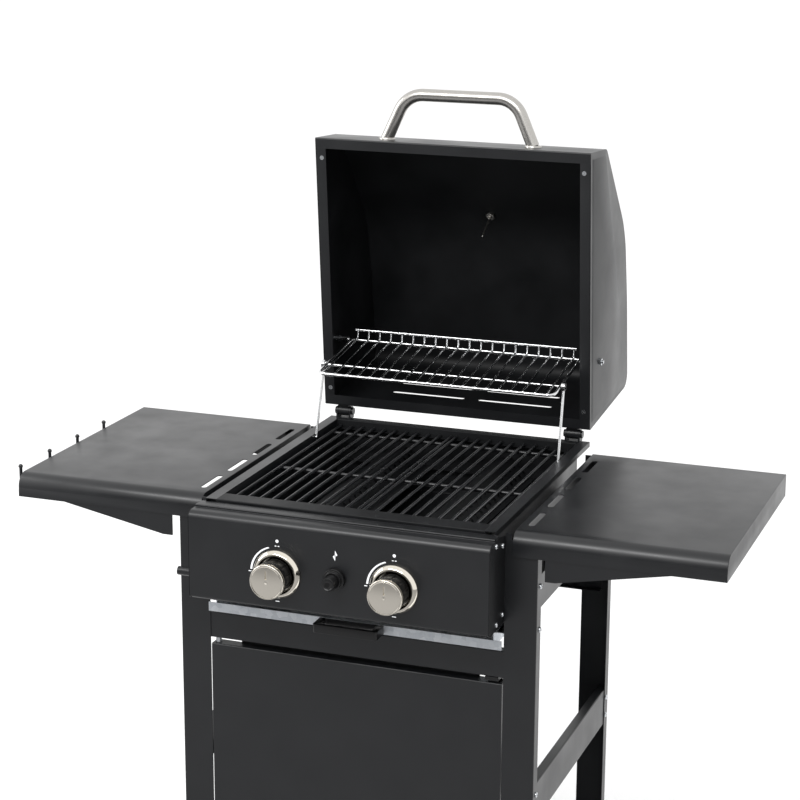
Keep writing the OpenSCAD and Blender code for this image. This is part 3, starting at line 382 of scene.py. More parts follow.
# %% [markdown]
# The side shelves are shallow trays pressed from one sheet: a broad roll along the front, a tight
# fold round the other three sides and four vent slots beside the firebox. A box without its
# bottom is the tray. The roll and the folds are bevels of their real radius, and the slots are
# cut with rounded bars after the sheet has its thickness. One shelf is made and mirrored.

# %% Side shelves
SHELF_IN, SHELF_OUT, SHELF_DEPTH, FLANGE = 240.0, 545.0, 423.0, 35.0
ROLL_RADIUS, FOLD_RADIUS, EDGE_RADIUS = 20.0, 3.0, 0.9
SLOTS, SLOT_LENGTH, SLOT_WIDTH, SLOT_INSET = 4, 65.0, 9.0, 15.0
FIRST_SLOT = 0.17 * SHELF_DEPTH
SLOT_PITCH = 0.22 * SHELF_DEPTH


def side_shelf(name):
    shelf = open_block(name, (SHELF_OUT - SHELF_IN, SHELF_DEPTH, FLANGE),
                       ((SHELF_OUT + SHELF_IN) / 2, SHELF_DEPTH / 2, -FLANGE / 2))
    choose_faces(shelf, lambda middle, normal: normal.z < -0.9)
    bpy.ops.mesh.delete(type="FACE")
    for y, radius, steps in ((0, ROLL_RADIUS, 12), (SHELF_DEPTH, FOLD_RADIUS, 5)):
        choose_edges(shelf, lambda a, b: all(near(p.z, 0) and near(p.y, y) for p in (a, b)))
        round_edges(radius, steps)
    choose_edges(shelf, lambda a, b: near(a.x, b.x) and max(a.z, b.z) > -ROLL_RADIUS - 1
                 and (near(a.x, SHELF_IN) or near(a.x, SHELF_OUT)) and min(a.z, b.z) > -FLANGE + 1)
    round_edges(EDGE_RADIUS, 3)
    close_mesh()
    apply_modifier(shelf, "SOLIDIFY", thickness=SHEET, offset=-1.0, use_even_offset=True)
    for i in range(SLOTS):
        middle = (SHELF_IN + SLOT_INSET, FIRST_SLOT + i * SLOT_PITCH, -2)
        cut(shelf, slot_cutter(SLOT_LENGTH, SLOT_WIDTH, 12.0, middle))
    return shelf


shelf_right = side_shelf("shelf_top_right")
shelf_left = mirrored(shelf_right, "shelf_top_left")
finish(shelf_right, "cart", "black_powder_coat", ["side_shelf_right"])
finish(shelf_left, "cart", "black_powder_coat", ["side_shelf_left"])

# %% [markdown]
# The control panel is one folded sheet. Its top steps up behind a joggle, comes forward and rolls
# over into the face with a radius of 11 mm, which catches the soft box as a bright line. The two
# lower corners of the face are rounded. Holes for the stems and the igniter are cut last.

# %% Control panel
PANEL_Y, PANEL_TOP, PANEL_BOTTOM = -67.0, -2.0, -135.0
PANEL_HALF, PANEL_CORNER = 229.0, 8.0
STEM_HOLE, IGNITER_HOLE = 5.0, 11.5
KNOB_X, KNOB_Z, BUTTON_Z = 89.0, -80.0, -76.0


def hole_cutter(x, y, z, radius, length, sides=48):
    return start(bpy.ops.mesh.primitive_cylinder_add, "hole_cutter", vertices=sides, radius=radius,
                 depth=length, location=(x, y, z), rotation=(math.pi / 2, 0, 0))


panel = folded_sheet("control_panel_face", [
    (-22, PANEL_TOP - 8, 0), (-22, PANEL_TOP + 3.5, 1.6), (-43, PANEL_TOP + 3.5, 1.6),
    (-43, PANEL_TOP, 0.6), (PANEL_Y, PANEL_TOP, 11), (PANEL_Y, PANEL_BOTTOM, 7),
    (-8, PANEL_BOTTOM, 0),
], -PANEL_HALF + SHEET, PANEL_HALF - SHEET, SHEET, outward=-1)
blank = open_block("corner_blank", (2 * (PANEL_HALF - SHEET), 80, 150),
                   (0, -32, PANEL_BOTTOM - 0.5 + 75))
choose_edges(blank, lambda a, b: near(a.x, b.x) and near(a.z, b.z) and a.z < PANEL_BOTTOM + 1)
round_edges(PANEL_CORNER, 8)
close_mesh()
cut(panel, blank, "INTERSECT")
for x in (-KNOB_X, KNOB_X):
    cut(panel, hole_cutter(x, PANEL_Y, KNOB_Z, STEM_HOLE, 8))
cut(panel, hole_cutter(0, PANEL_Y, BUTTON_Z, IGNITER_HOLE, 8))
finish(panel, "cart", "black_powder_coat", ["control_panel"], angle=40)

# %% [markdown]
# A bezel is a chrome dish: a rounded outer ring, a broad sloping band and a hollow that the knob
# sinks into. It is turned from its profile and the sharp rings are rounded with a bevel.

# %% Bezels
def facing_forward(x, y, z):
    """Turns a part drawn up Z so that it points out of the panel."""
    return Matrix.Translation((x, y, z)) @ Matrix.Rotation(math.pi / 2, 4, "X")


def set_in_place(piece, matrix):
    take(piece)
    piece.matrix_world = matrix @ piece.matrix_world
    bpy.ops.object.transform_apply(location=True, rotation=True, scale=True)
    return piece


bezel = turned_part("bezel", [
    (5, 0), (36, 0), (36, 3.4), (34.4, 5.4), (32.6, 7.8), (31.2, 8.9), (29.0, 8.9), (28.0, 8.0),
    (27.2, 2.6), (26.2, 2.0), (5, 2.0), (5, 0),
])
rounded(bezel, 0.7, 3, 25)
right_bezel = copy_piece(bezel, "bezel_copy")
set_in_place(bezel, facing_forward(-KNOB_X, PANEL_Y, KNOB_Z))
set_in_place(right_bezel, facing_forward(KNOB_X, PANEL_Y, KNOB_Z))
bezels = join([bezel, right_bezel], "knob_bezels_chrome")
finish(bezels, "cart", "chrome_plate", ["knob_bezels"], angle=30)

# %% [markdown]
# The knob is a black moulding with twelve grip flutes. Its cap is a thin chrome cup pressed over
# the front: a rounded rim, a fine groove just inside it, and a shallow dome with a pointer slot.

# %% Knobs and caps
KNOB_BASE, KNOB_LENGTH = -73.0, 30.0
FLUTES, FLUTE_CIRCLE = 12, 26.4
CAP_RADIUS, CAP_OVERLAP = 26.0, 4.0
DOME_RADIUS, DOME_EDGE, DOME_RISE, DOME_RING = CAP_RADIUS - 3.4, 8.3, 1.6, 3.7

knob = turned_part("knob", [
    (3.2, 0), (24.2, 0), (25, 3.5), (25, KNOB_LENGTH), (3.2, KNOB_LENGTH), (3.2, 0),
])
rounded(knob, 0.6, 3, 40)
for i in range(FLUTES):
    turn = math.radians(360 / FLUTES * (i + 0.5))
    at = (FLUTE_CIRCLE * math.cos(turn), FLUTE_CIRCLE * math.sin(turn), 11.5)
    cut(knob, start(bpy.ops.mesh.primitive_cylinder_add, "flute_cutter", vertices=24, radius=2.4,
                    depth=17, location=at))
recalculate(knob)

dome_radii = [DOME_RADIUS - i * DOME_RING for i in range(6)]
dome = [(r, DOME_EDGE + DOME_RISE * (1 - (r / DOME_RADIUS) ** 2)) for r in dome_radii]
cap = turned_part("cap", [
    (25.1, 2.0), (26, 2.0), (26, 7.0), (25.4, 8.0), (24.4, 8.4), (23.6, 8.1), (23.2, 7.9),
] + dome + [(0.01, 9.9), (0.01, 4.2), (25.1, 4.2), (25.1, 2.0)])
recalculate(cap)
rounded(cap, 0.25, 2, 35)
cut(cap, slot_cutter(13.0, 2.6, 6.0, (0, 11.0, 10.4)))
recalculate(cap)

for side, x in (("left", -KNOB_X), ("right", KNOB_X)):
    body = f"knob_{side}_set"
    one_knob = copy_piece(knob, f"knob_grip_{side}")
    set_in_place(one_knob, facing_forward(x, KNOB_BASE, KNOB_Z))
    finish(one_knob, body, "black_plastic", [f"knob_{side}"])
    one_cap = copy_piece(cap, f"knob_cap_chrome_{side}")
    set_in_place(one_cap, facing_forward(x, KNOB_BASE - KNOB_LENGTH + CAP_OVERLAP, KNOB_Z))
    finish(one_cap, body, "chrome_plate", [f"knob_cap_{side}"], angle=25)
for piece in (knob, cap):
    bpy.data.objects.remove(piece)

# %% [markdown]
# The igniter is a stepped black collar with a push button that stands out of it.

# %% Igniter
collar = turned_part("igniter_collar", [
    (10.4, -38), (11.4, -38), (11.4, -6), (16, -6), (16, 8), (13, 8), (13, 13), (10.4, 13),
    (10.4, -38),
], 64)
rounded(collar, 0.9, 3, 40)
set_in_place(collar, facing_forward(0, PANEL_Y, BUTTON_Z))
finish(collar, "cart", "black_plastic", ["igniter_body"])
button = turned_part("igniter_push_button", [
    (0, -20), (10, -20), (10, 28.2), (9.2, 29.6), (7.6, 30), (6.8, 29.4), (0, 29.2), (0, -20),
], 64)
set_in_place(button, facing_forward(0, PANEL_Y, BUTTON_Z))
finish(button, "igniter_push", "black_plastic", ["igniter_button"], angle=30)

# %% [markdown]
# The marks on the panel are screen printed: a dot over each knob for off, an arc that grows from
# high flame to low, short bars where words would be, and a spark over the igniter. Each is a thin
# flat shape a tenth of a millimetre proud of the panel, drawn standing up in its plane.

# %% Printed marks
def printed(name, x, z):
    mark = bpy.context.object
    mark.name = name
    return set_in_place(mark, facing_forward(x, PANEL_Y - 0.15, z))


marks = []
for x in (-KNOB_X, KNOB_X):
    start(bpy.ops.mesh.primitive_circle_add, "dot", vertices=24, radius=2.4, fill_type="NGON")
    marks.append(printed("dot", x, KNOB_Z + 49))
    arc = start(bpy.ops.mesh.primitive_circle_add, "arc", vertices=180, radius=39.0)
    open_mesh(arc)
    bpy.ops.mesh.select_mode(type="VERT")
    bpy.ops.mesh.select_all(action="DESELECT")
    ring = bmesh.from_edit_mesh(arc.data)
    for v in ring.verts:
        angle = math.degrees(math.atan2(v.co.y, v.co.x)) % 360
        v.select_set(not 108 < angle < 176)
    bmesh.update_edit_mesh(arc.data)
    bpy.ops.mesh.delete(type="VERT")
    bpy.ops.mesh.select_all(action="SELECT")
    bpy.ops.mesh.extrude_region_move(TRANSFORM_OT_translate={"value": (0, 0, 0)})
    bpy.ops.transform.resize(value=(1.055, 1.055, 1), center_override=(0, 0, 0))
    bpy.ops.transform.translate(value=(-0.9, -0.4, 0))
    close_mesh()
    marks.append(printed("arc", x, KNOB_Z))
    for dx, dz, width in ((-2.2, 41.5, 2.6), (2.2, 41.5, 2.6), (-42.5, -0.5, 4.5), (0, -41.5, 6.0)):
        stretch(start(bpy.ops.mesh.primitive_plane_add, "bar", size=1), width, 1.3)
        marks.append(printed("bar", x + dx, KNOB_Z + dz))
for lean, dx, dz in ((0.0, 0.9, 2.3), (math.pi, -0.9, -2.3)):
    half_spark = start(bpy.ops.mesh.primitive_circle_add, "spark", vertices=3, radius=3.4,
                       fill_type="NGON", rotation=(0, 0, lean + 0.35))
    stretch(half_spark, 0.75, 1.75)
    marks.append(printed("spark", dx, BUTTON_Z + 34 + dz))
print_marks = join(marks, "panel_print")
apply_modifier(print_marks, "SOLIDIFY", thickness=0.12, offset=-1.0)
finish(print_marks, "cart", "white_ceramic")

# %% [markdown]
# The lid is drawn closed, from its rear rim corner: forward is -Y and up is Z. One matrix turns
# what is drawn that way to the open lid of the frame.

# %% The lid's own frame
LID_OPEN = math.radians(85)
HINGE = Vector((0, 465.0, 17.0))
LID_CORNER = Vector((0, 452.4, 5.7))
LID_HALF, LID_DEPTH, LID_HEIGHT, LID_FRONT = 226.0, 448.0, 234.0, 93.0
LID_SHEET, LID_LEDGE = 1.5, 17.0
lid_matrix = (Matrix.Translation(HINGE) @ Matrix.Rotation(-LID_OPEN, 4, "X")
              @ Matrix.Translation(LID_CORNER - HINGE))
lid_curve = [
    (0, 0, 2), (0, LID_HEIGHT, 22), (0.335 * LID_DEPTH, LID_HEIGHT - 7, 600),
    (0.607 * LID_DEPTH, LID_HEIGHT - 23, 140), (LID_DEPTH - 14, LID_FRONT, 18), (LID_DEPTH, 0, 2),
]
print("lid corner in the open lid", [round(v, 1) for v in lid_matrix @ Vector((0, 0, 0))])

# %% [markdown]
# The roof of the lid is one sheet folded round its curved outline, with a flange at the rim. Four
# slots let the hot air out at the back.

# %% Lid roof
roof_line = [(LID_LEDGE, 0, 0)] + lid_curve + [(LID_DEPTH - LID_LEDGE, 0, 0)]
roof = folded_sheet("lid_roof", [(-y, z, r) for y, z, r in roof_line],
                    -LID_HALF + LID_SHEET, LID_HALF - LID_SHEET, LID_SHEET, outward=-1)
for x in (-75, 75):
    for z in (85, 132):
        vent = slot_cutter(126.0, 9.0, 14.0, (0, 0, 0))
        vent.matrix_world = (Matrix.Translation((x, 0, z)) @ Matrix.Rotation(math.pi / 2, 4, "X")
                             @ Matrix.Rotation(math.pi / 2, 4, "Z"))
        cut(roof, vent)
finish(roof, "lid", "black_powder_coat", ["lid_shell"], lid_matrix, 30)

# %% [markdown]
# Each end of the lid is a pressed plate. A thin box is sliced along the outline with bisect, its
# wide corners are rounded, and an inset and a small step give the raised border that stiffens it.
# The two sharp corners at the rim are rounded last, so that the inset keeps clear of them.

# %% Lid ends
SHARP, WIDE = 5.0, 1000.0
BORDER, STEP_WIDTH, STEP_HEIGHT = 10.0, 1.6, 0.9


def round_plate_corners(plate, over, up_to):
    """Rounds those corners of the outline whose radius lies in the given range."""
    neighbours = zip(lid_curve[-1:] + lid_curve, lid_curve, lid_curve[1:] + lid_curve[:1])
    for before, (y, z, radius), after in neighbours:
        if not over < radius <= up_to:
            continue
        bend = Vector((y - before[0], z - before[1])).angle(Vector((after[0] - y, after[1] - z)))
        choose_edges(plate, lambda a, b: not near(a.x, b.x)
                     and near(a.y, -y, 0.1) and near(a.z, z, 0.1))
        steps = min(10, max(3, math.ceil(math.degrees(bend) / 5)))
        round_edges(radius * math.tan(bend / 2), steps)


def lid_end(name):
    plate = open_block(name, (LID_SHEET, LID_DEPTH, LID_HEIGHT),
                       (LID_HALF - LID_SHEET / 2, -LID_DEPTH / 2, LID_HEIGHT / 2))
    for first, second in zip(lid_curve[1:], lid_curve[2:]):
        outward = Vector((0, second[1] - first[1], second[0] - first[0])).normalized()
        bpy.ops.mesh.select_all(action="SELECT")
        bpy.ops.mesh.bisect(plane_co=(0, -first[0], first[1]), plane_no=outward, use_fill=True,
                            clear_outer=True)
    round_plate_corners(plate, SHARP, WIDE)
    choose_faces(plate, lambda middle, normal: normal.x > 0.9)
    bpy.ops.mesh.inset(thickness=BORDER, use_even_offset=True)
    bpy.ops.mesh.inset(thickness=STEP_WIDTH, depth=STEP_HEIGHT, use_even_offset=True)
    round_plate_corners(plate, 0, SHARP)
    close_mesh()
    hem = open_block("hem", (LID_LEDGE, LID_DEPTH - 2 * LID_LEDGE, LID_SHEET),
                     (LID_HALF - LID_LEDGE / 2 - 0.2, -LID_DEPTH / 2, LID_SHEET / 2))
    choose_edges(hem, lambda a, b: near(a.x, b.x) and near(a.z, b.z) and a.x < LID_HALF - 5)
    round_edges(0.5, 2)
    close_mesh()
    return join([plate, hem], name)


end_right = lid_end("lid_end_right")
end_left = mirrored(end_right, "lid_end_left")
finish(end_right, "lid", "black_powder_coat", ["lid_side_right"], lid_matrix, 30)
finish(end_left, "lid", "black_powder_coat", ["lid_side_left"], lid_matrix, 30)

# %% [markdown]
# The handle is one stainless tube, bent twice. A circle is pulled along the first straight, spun
# round the centre of the bend, pulled along the bar, spun again and pulled down to the lid. Its
# two feet are small turned collars.

# %% Lid handle
HANDLE_HALF, HANDLE_REACH, TUBE_RADIUS, BEND_RADIUS = 121.0, 72.0, 10.0, 42.0
ARM_LEAN = math.radians(24)
inward = HANDLE_REACH * math.tan(ARM_LEAN)
rising = Vector((inward, HANDLE_REACH - 1, 0)).normalized()
bend_turn = rising.angle(Vector((1, 0, 0)))
trim = BEND_RADIUS * math.tan(bend_turn / 2)
straight = math.hypot(inward, HANDLE_REACH - 1) - trim
bend_x = HANDLE_HALF - inward - trim
tube = start(bpy.ops.mesh.primitive_circle_add, "lid_handle_tube", vertices=40, radius=TUBE_RADIUS,
             location=(-HANDLE_HALF, 1, 0), rotation=rising.to_track_quat("Z", "Y").to_euler())
bpy.ops.object.transform_apply(location=True, rotation=True, scale=True)
open_mesh(tube)
bpy.ops.mesh.extrude_region_move(TRANSFORM_OT_translate={"value": rising * straight})
for side in (-1, 1):
    bpy.ops.mesh.spin(steps=14, angle=bend_turn, axis=(0, 0, 1),
                      center=(side * bend_x, HANDLE_REACH - BEND_RADIUS, 0))
    if side < 0:
        bpy.ops.mesh.extrude_region_move(TRANSFORM_OT_translate={"value": (2 * bend_x, 0, 0)})
falling = Vector((rising.x, -rising.y, 0))
bpy.ops.mesh.extrude_region_move(TRANSFORM_OT_translate={"value": falling * straight})
bpy.ops.mesh.select_all(action="SELECT")
bpy.ops.mesh.fill_holes(sides=0)
close_mesh()
recalculate(tube)
low, high = Vector(tube.bound_box[0]), Vector(tube.bound_box[6])
print("handle reaches", [round(v, 1) for v in (*low, *high)])
handle_parts = [tube]
for x in (-HANDLE_HALF, HANDLE_HALF):
    foot = turned_part("handle_foot", [
        (0, 0), (13, 0), (13, 2.2), (12.2, 3), (9, 3), (0, 3), (0, 0),
    ], 48)
    standing = Matrix.Translation((x, 0, 0)) @ Matrix.Rotation(-math.pi / 2, 4, "X")
    handle_parts.append(set_in_place(foot, standing))
handle = join(handle_parts, "lid_handle_tube")
front_lean = math.atan2(14, LID_FRONT)
foot_height = 0.48 * LID_FRONT
away = Vector((0, -math.cos(front_lean), math.sin(front_lean)))
handle_axes = Matrix((Vector((1, 0, 0)), away, Vector((1, 0, 0)).cross(away))).transposed().to_4x4()
foot_forward = LID_DEPTH - foot_height * math.tan(front_lean)
handle_matrix = Matrix.Translation((0, -foot_forward, foot_height)) @ handle_axes
finish(handle, "lid", "brushed_stainless", ["lid_handle"], lid_matrix @ handle_matrix, 50)

# %% [markdown]
# The thermometer's dial is outside, on the curve of the lid. Inside hang its nut and its probe. A
# plain scale of twelve ticks and a needle make the dial readable without any words.

# %% Lid thermometer
arc_a, arc_b, arc_c = (Vector(lid_curve[i][:2]) for i in (2, 3, 4))
arm_a, arm_c = (arc_a - arc_b).normalized(), (arc_c - arc_b).normalized()
ARC_RADIUS, LEAN = lid_curve[3][2], math.radians(29)
arc_middle = arc_b + (arm_a + arm_c).normalized() * ARC_RADIUS / math.sin(arm_a.angle(arm_c) / 2)
dial_matrix = lid_matrix @ Matrix.Translation((
    0, -(arc_middle.x + ARC_RADIUS * math.sin(LEAN)), arc_middle.y + ARC_RADIUS * math.cos(LEAN),
)) @ Matrix.Rotation(LEAN, 4, "X")
case = turned_part("thermometer_case", [
    (0, 3), (22, 3), (28.4, 8.6), (29, 9.8), (29, 15.2), (28.2, 16), (25.8, 16), (24.8, 14.4),
    (0, 14.4), (0, 3),
], 72)
washer = turned_part("washer", [(0, 0), (9, 0), (9, 3.2), (4, 3.2), (0, 3.2), (0, 0)], 48)
nut = turned_part("nut", [(0, -1.8), (9, -1.8), (9, -6.4), (4, -6.4), (0, -6.4), (0, -1.8)], 6)
rounded(nut, 0.5, 2, 40)
probe = turned_part("probe", [
    (0, -6), (3.2, -6), (3.2, -11), (1.7, -11.5), (1.7, -50), (1.2, -51.6), (0, -52), (0, -6),
], 32)
thermometer = join([case, washer, nut, probe], "lid_thermometer_dial")
finish(thermometer, "lid", "brushed_stainless", ["lid_thermometer"], dial_matrix, 35)
ticks = []
for i in range(12):
    turn = Matrix.Rotation(math.radians(30 * i), 4, "Z")
    tick = start(bpy.ops.mesh.primitive_plane_add, "tick", size=1)
    stretch(tick, 0.9, 4.2)
    ticks.append(set_in_place(tick, turn @ Matrix.Translation((0, 20.5, 14.55))))
needle = start(bpy.ops.mesh.primitive_circle_add, "needle", vertices=3, radius=9, fill_type="NGON")
stretch(needle, 0.16, 1.2)
ticks.append(set_in_place(needle, Matrix.Rotation(0.6, 4, "Z") @ Matrix.Translation((0, 5, 14.6))))
scale_print = join(ticks, "thermometer_scale")
apply_modifier(scale_print, "SOLIDIFY", thickness=0.1, offset=1.0)
finish(scale_print, "lid", "black_plastic", (), dial_matrix)

# %% [markdown]
# Screws hold the cart together. One pan head with a cross recess is turned and cut, and a copy
# goes to each place where the frame has a bolt.

# %% Screws
def screw_head(radius):
    head = turned_part("screw", [
        (0, 0), (radius, 0), (radius, 1.0), (radius * 0.9, 1.9), (radius * 0.6, 2.6), (0, 2.8),
        (0, 0),
    ], 32)
    for turn in (0, math.pi / 2):
        bit = start(bpy.ops.mesh.primitive_cube_add, "bit", size=1, location=(0, 0, 2.6),
                    rotation=(0, 0, turn), scale=(radius * 1.1, radius * 0.28, 1.8))
        cut(head, bit)
    return head


LEG_OUT = 277.0
FRONT_Y, REAR_Y = 3.4, 419.6
base_top = in_mm(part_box("bottom_shelf")[1]).z
places = [(LEG_OUT, y, z) for y in (FRONT_Y + 14, REAR_Y - 14)
          for z in (-80, -145, -399, -429, base_top - 15)]
bolt = screw_head(4.1)
bolts = []
for side in (-1, 1):
    for x, y, z in places:
        turn = Matrix.Rotation(side * math.pi / 2, 4, "Y")
        at = Matrix.Translation((side * x, y, z))
        bolts.append(set_in_place(copy_piece(bolt, "bolt"), at @ turn))
cart_screws = join(bolts, "cart_screws")
finish(cart_screws, "cart", "zinc_plated_steel", ["cart_bolts"], angle=40)
panel_screw = screw_head(3.6)
screws = []
for side in (-1, 1):
    for y, z in ((-41, -9), (-11, -17), (-7, -120), (-35, -126)):
        turn = Matrix.Rotation(side * math.pi / 2, 4, "Y")
        screws.append(set_in_place(copy_piece(panel_screw, "screw"),
                                   Matrix.Translation((side * PANEL_HALF, y, z)) @ turn))
end_screws = join(screws, "panel_end_screws")
finish(end_screws, "cart", "zinc_plated_steel", angle=40)
for piece in (bolt, panel_screw):
    bpy.data.objects.remove(piece)

# %% [markdown]
# The tray's pull is a black moulding: a bar on two arms. A block gets the finger hole cut out, and
# every edge is rounded.

# %% Tray pull
strip_z = in_mm(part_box("tray_handle")[0]).z
pull = open_block("tray_pull", (100, 30, 13), (0, -19, strip_z + 6.5))
choose_edges(pull, lambda a, b: near(a.x, b.x) and near(a.y, b.y) and a.y < -30)
round_edges(5.0, 6)
close_mesh()
finger_hole = open_block("finger_hole", (78, 18, 30), (0, -16, strip_z + 6.5))
choose_edges(finger_hole, lambda a, b: near(a.x, b.x) and near(a.y, b.y))
round_edges(3.0, 5)
close_mesh()
cut(pull, finger_hole)
rounded(pull, 0.8, 3, 50)
finish(pull, "tray", "black_plastic", ["tray_handle"], angle=40)

# %% [markdown]
# A wheel is a plastic moulding with a ribbed web and a tyre with two grooves. Web and tyre are
# turned, six ribs are boxes with rounded edges, and one function makes both wheels.

# %% Wheels
RIBS = 6
wheel_low, wheel_high = (in_mm(v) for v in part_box("wheel_front"))
wheel_radius = (wheel_high.z - wheel_low.z) / 2
rim_radius = wheel_radius - 12
axle = (wheel_low + wheel_high) / 2


def wheel(name, far_y):
    tyre = turned_part("tyre", [
        (rim_radius, 1), (rim_radius + 2, 0), (wheel_radius - 5, 0), (wheel_radius - 1.4, 2),
        (wheel_radius, 6), (wheel_radius, 10), (wheel_radius - 2, 11), (wheel_radius - 2, 13),
        (wheel_radius, 14), (wheel_radius, 16), (wheel_radius - 2, 17), (wheel_radius - 2, 19),
        (wheel_radius, 20), (wheel_radius, 24), (wheel_radius - 1.4, 28), (wheel_radius - 5, 30),
        (rim_radius + 2, 30), (rim_radius, 29), (rim_radius, 1),
    ])
    web = turned_part("web", [
        (5.1, 0), (16, 0), (17, 1), (17, 13), (rim_radius + 1, 13), (rim_radius + 1, 17), (17, 17),
        (17, 29), (16, 30), (5.1, 30), (5.1, 0),
    ])
    ribs = []
    for i in range(RIBS):
        rib = open_block("rib", (rim_radius - 14, 10, 18), ((rim_radius + 16) / 2, 0, 15))
        bpy.ops.mesh.bevel(offset=1.2, segments=2, affect="EDGES")
        close_mesh()
        ribs.append(set_in_place(rib, Matrix.Rotation(i * 2 * math.pi / RIBS, 4, "Z")))
    hub = join([web] + ribs, f"{name}_hub")
    to_axle = Matrix.Translation((axle.x, far_y, axle.z)) @ Matrix.Rotation(math.pi / 2, 4, "X")
    tyre.name = f"{name}_tyre"
    finish(tyre, f"{name}_wheel", "black_plastic", [f"wheel_{name}"], to_axle, 30)
    finish(hub, f"{name}_wheel", "black_plastic", (), to_axle, 40)


wheel("front", wheel_high.y)
wheel("rear", in_mm(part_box("wheel_rear")[1]).y)

# %% [markdown]
# Now the finishes. Colours are given as sRGB hex values and turned to linear light by one
# function. One more adds a node with its settings and links. Patterns read object coordinates,
# which are metres here, so a pattern's scale is one over its real size.

# %% Tools for finishes
def colour(code):
    parts = [int(code[i:i + 2], 16) / 255 for i in (1, 3, 5)]
    return (*[c / 12.92 if c <= 0.04045 else ((c + 0.055) / 1.055) ** 2.4 for c in parts], 1.0)


def add_node(material, kind, links=(), **settings):
    """links are (input name or number, value or output socket)."""
    node = material.node_tree.nodes.new(kind)
    for key, value in settings.items():
        setattr(node, key, value)
    for socket, value in links:
        if isinstance(value, bpy.types.NodeSocket):
            material.node_tree.links.new(value, node.inputs[socket])
        else:
            node.inputs[socket].default_value = value
    return node


def per(millimetres):
    return 1.0 / (millimetres * MM)


def finish_of(name, code, metallic, roughness, **constants):
    """A new material with its shader's plain values, and its object coordinates."""
    material = bpy.data.materials.new(name)
    material.use_nodes = True
    shader = material.node_tree.nodes["Principled BSDF"]
    shader.inputs["Base Color"].default_value = colour(code)
    shader.inputs["Metallic"].default_value = metallic
    shader.inputs["Roughness"].default_value = roughness
    for key, value in constants.items():
        shader.inputs[key.replace("_", " ")].default_value = value
    where = add_node(material, "ShaderNodeTexCoord").outputs["Object"]
    return material, shader, where


def link(material, output, shader, name):
    material.node_tree.links.new(output, shader.inputs[name])


def roughen(material, shader, pattern, low, high):
    """Lets the roughness drift between two values along a pattern."""
    rough = add_node(material, "ShaderNodeMapRange", [
        ("Value", pattern), ("From Min", 0.3), ("From Max", 0.7), ("To Min", low), ("To Max", high)])
    link(material, rough.outputs["Result"], shader, "Roughness")


def emboss(material, shader, pattern, strength, deep):
    """Raises a pattern by a fraction of a millimetre; deep is in millimetres."""
    bump = add_node(material, "ShaderNodeBump", [
        ("Height", pattern), ("Strength", strength), ("Distance", deep * MM)])
    link(material, bump.outputs["Normal"], shader, "Normal")


def noise(material, where, size, detail):
    return add_node(material, "ShaderNodeTexNoise", [
        ("Vector", where), ("Scale", per(size)), ("Detail", detail)]).outputs["Fac"]


def tint(material, shader, pattern, first, second):
    """Mixes the base colour between two hex colours along a pattern."""
    mix = add_node(material, "ShaderNodeMix", [
        (0, pattern), (6, colour(first)), (7, colour(second))], data_type="RGBA")
    link(material, mix.outputs[2], shader, "Base Color")


# %% [markdown]
# **Powder coat.** Black polyester powder, sprayed dry and melted in an oven, flows to a satin skin
# with a faint orange peel about 2 mm wide. Its roughness drifts over hand-sized patches where the
# film is thicker, and fingers and cloths leave it a little smoother here and there.

# %% Powder coat
def powder_coat(name, code, low, high, peel, specular=0.5):
    material, shader, where = finish_of(name, code, 0.0, (low + high) / 2,
                                        Specular_IOR_Level=specular)
    patches = noise(material, where, 70, 3.0)
    roughen(material, shader, patches, low, high)
    tint(material, shader, patches, code, "#1a1b1d")
    emboss(material, shader, noise(material, where, 2, 2.0), peel, 0.2)
    return material


satin_black = powder_coat("black_powder_coat_satin", "#131416", 0.30, 0.40, 0.10)
print("powder coat ready")

# %% [markdown]
# **Stove enamel.** The inside of the lid and the firebox carry a heat-proof black that is nearly
# matt. Grease and soot deepen it in cloudy patches.

# %% Heat-proof black
heat_black = powder_coat("heat_proof_black_matt", "#050607", 0.45, 0.6, 0.2, 0.22)
grate_black = powder_coat("grate_enamel_black", "#17181a", 0.24, 0.34, 0.25, 0.6)
print("heat-proof blacks ready")

# %% [markdown]
# **Chrome.** Polished copper and nickel under a thin hard chrome give a sharp, slightly warm mirror
# with hair-fine wiping marks.

# %% Chrome
def bright_metal(name, code, roughness, marks, size, stretch_by=(1, 1, 1)):
    material, shader, where = finish_of(name, code, 1.0, roughness)
    drawn_out = add_node(material, "ShaderNodeMapping", [("Vector", where), ("Scale", stretch_by)])
    lines = noise(material, drawn_out.outputs["Vector"], size, 5.0)
    roughen(material, shader, lines, max(roughness - marks, 0.02), roughness + marks)
    emboss(material, shader, lines, marks, 0.05)
    return material, shader, lines


warm_chrome, _, _ = bright_metal("polished_chrome_plate", "#e6e0d4", 0.07, 0.03, 6)
wire_chrome, _, _ = bright_metal("chromed_wire", "#e4e5e6", 0.14, 0.05, 4)
print("chrome ready")

# %% [markdown]
# **Brushed stainless.** A belt drags grit round the tube, so the lines run round it and are short
# along it. They are stretched six to one and drawn 1.2 mm apart, coarser than the real ones, so
# that they show.

# %% Brushed stainless, zinc and galvanised steel
brushed, brushed_shader, brush_lines = bright_metal(
    "brushed_stainless_steel", "#b9b6b1", 0.27, 0.1, 1.2, (6, 1, 1))
tint(brushed, brushed_shader, brush_lines, "#a5a29d", "#d2d0cc")
zinc, _, _ = bright_metal("zinc_plated_screws", "#cdd0d3", 0.24, 0.08, 1)
burner_steel, _, _ = bright_metal("aluminised_steel", "#8d8f90", 0.42, 0.12, 5)
brass, _, _ = bright_metal("machined_brass", "#b3924f", 0.28, 0.08, 2)

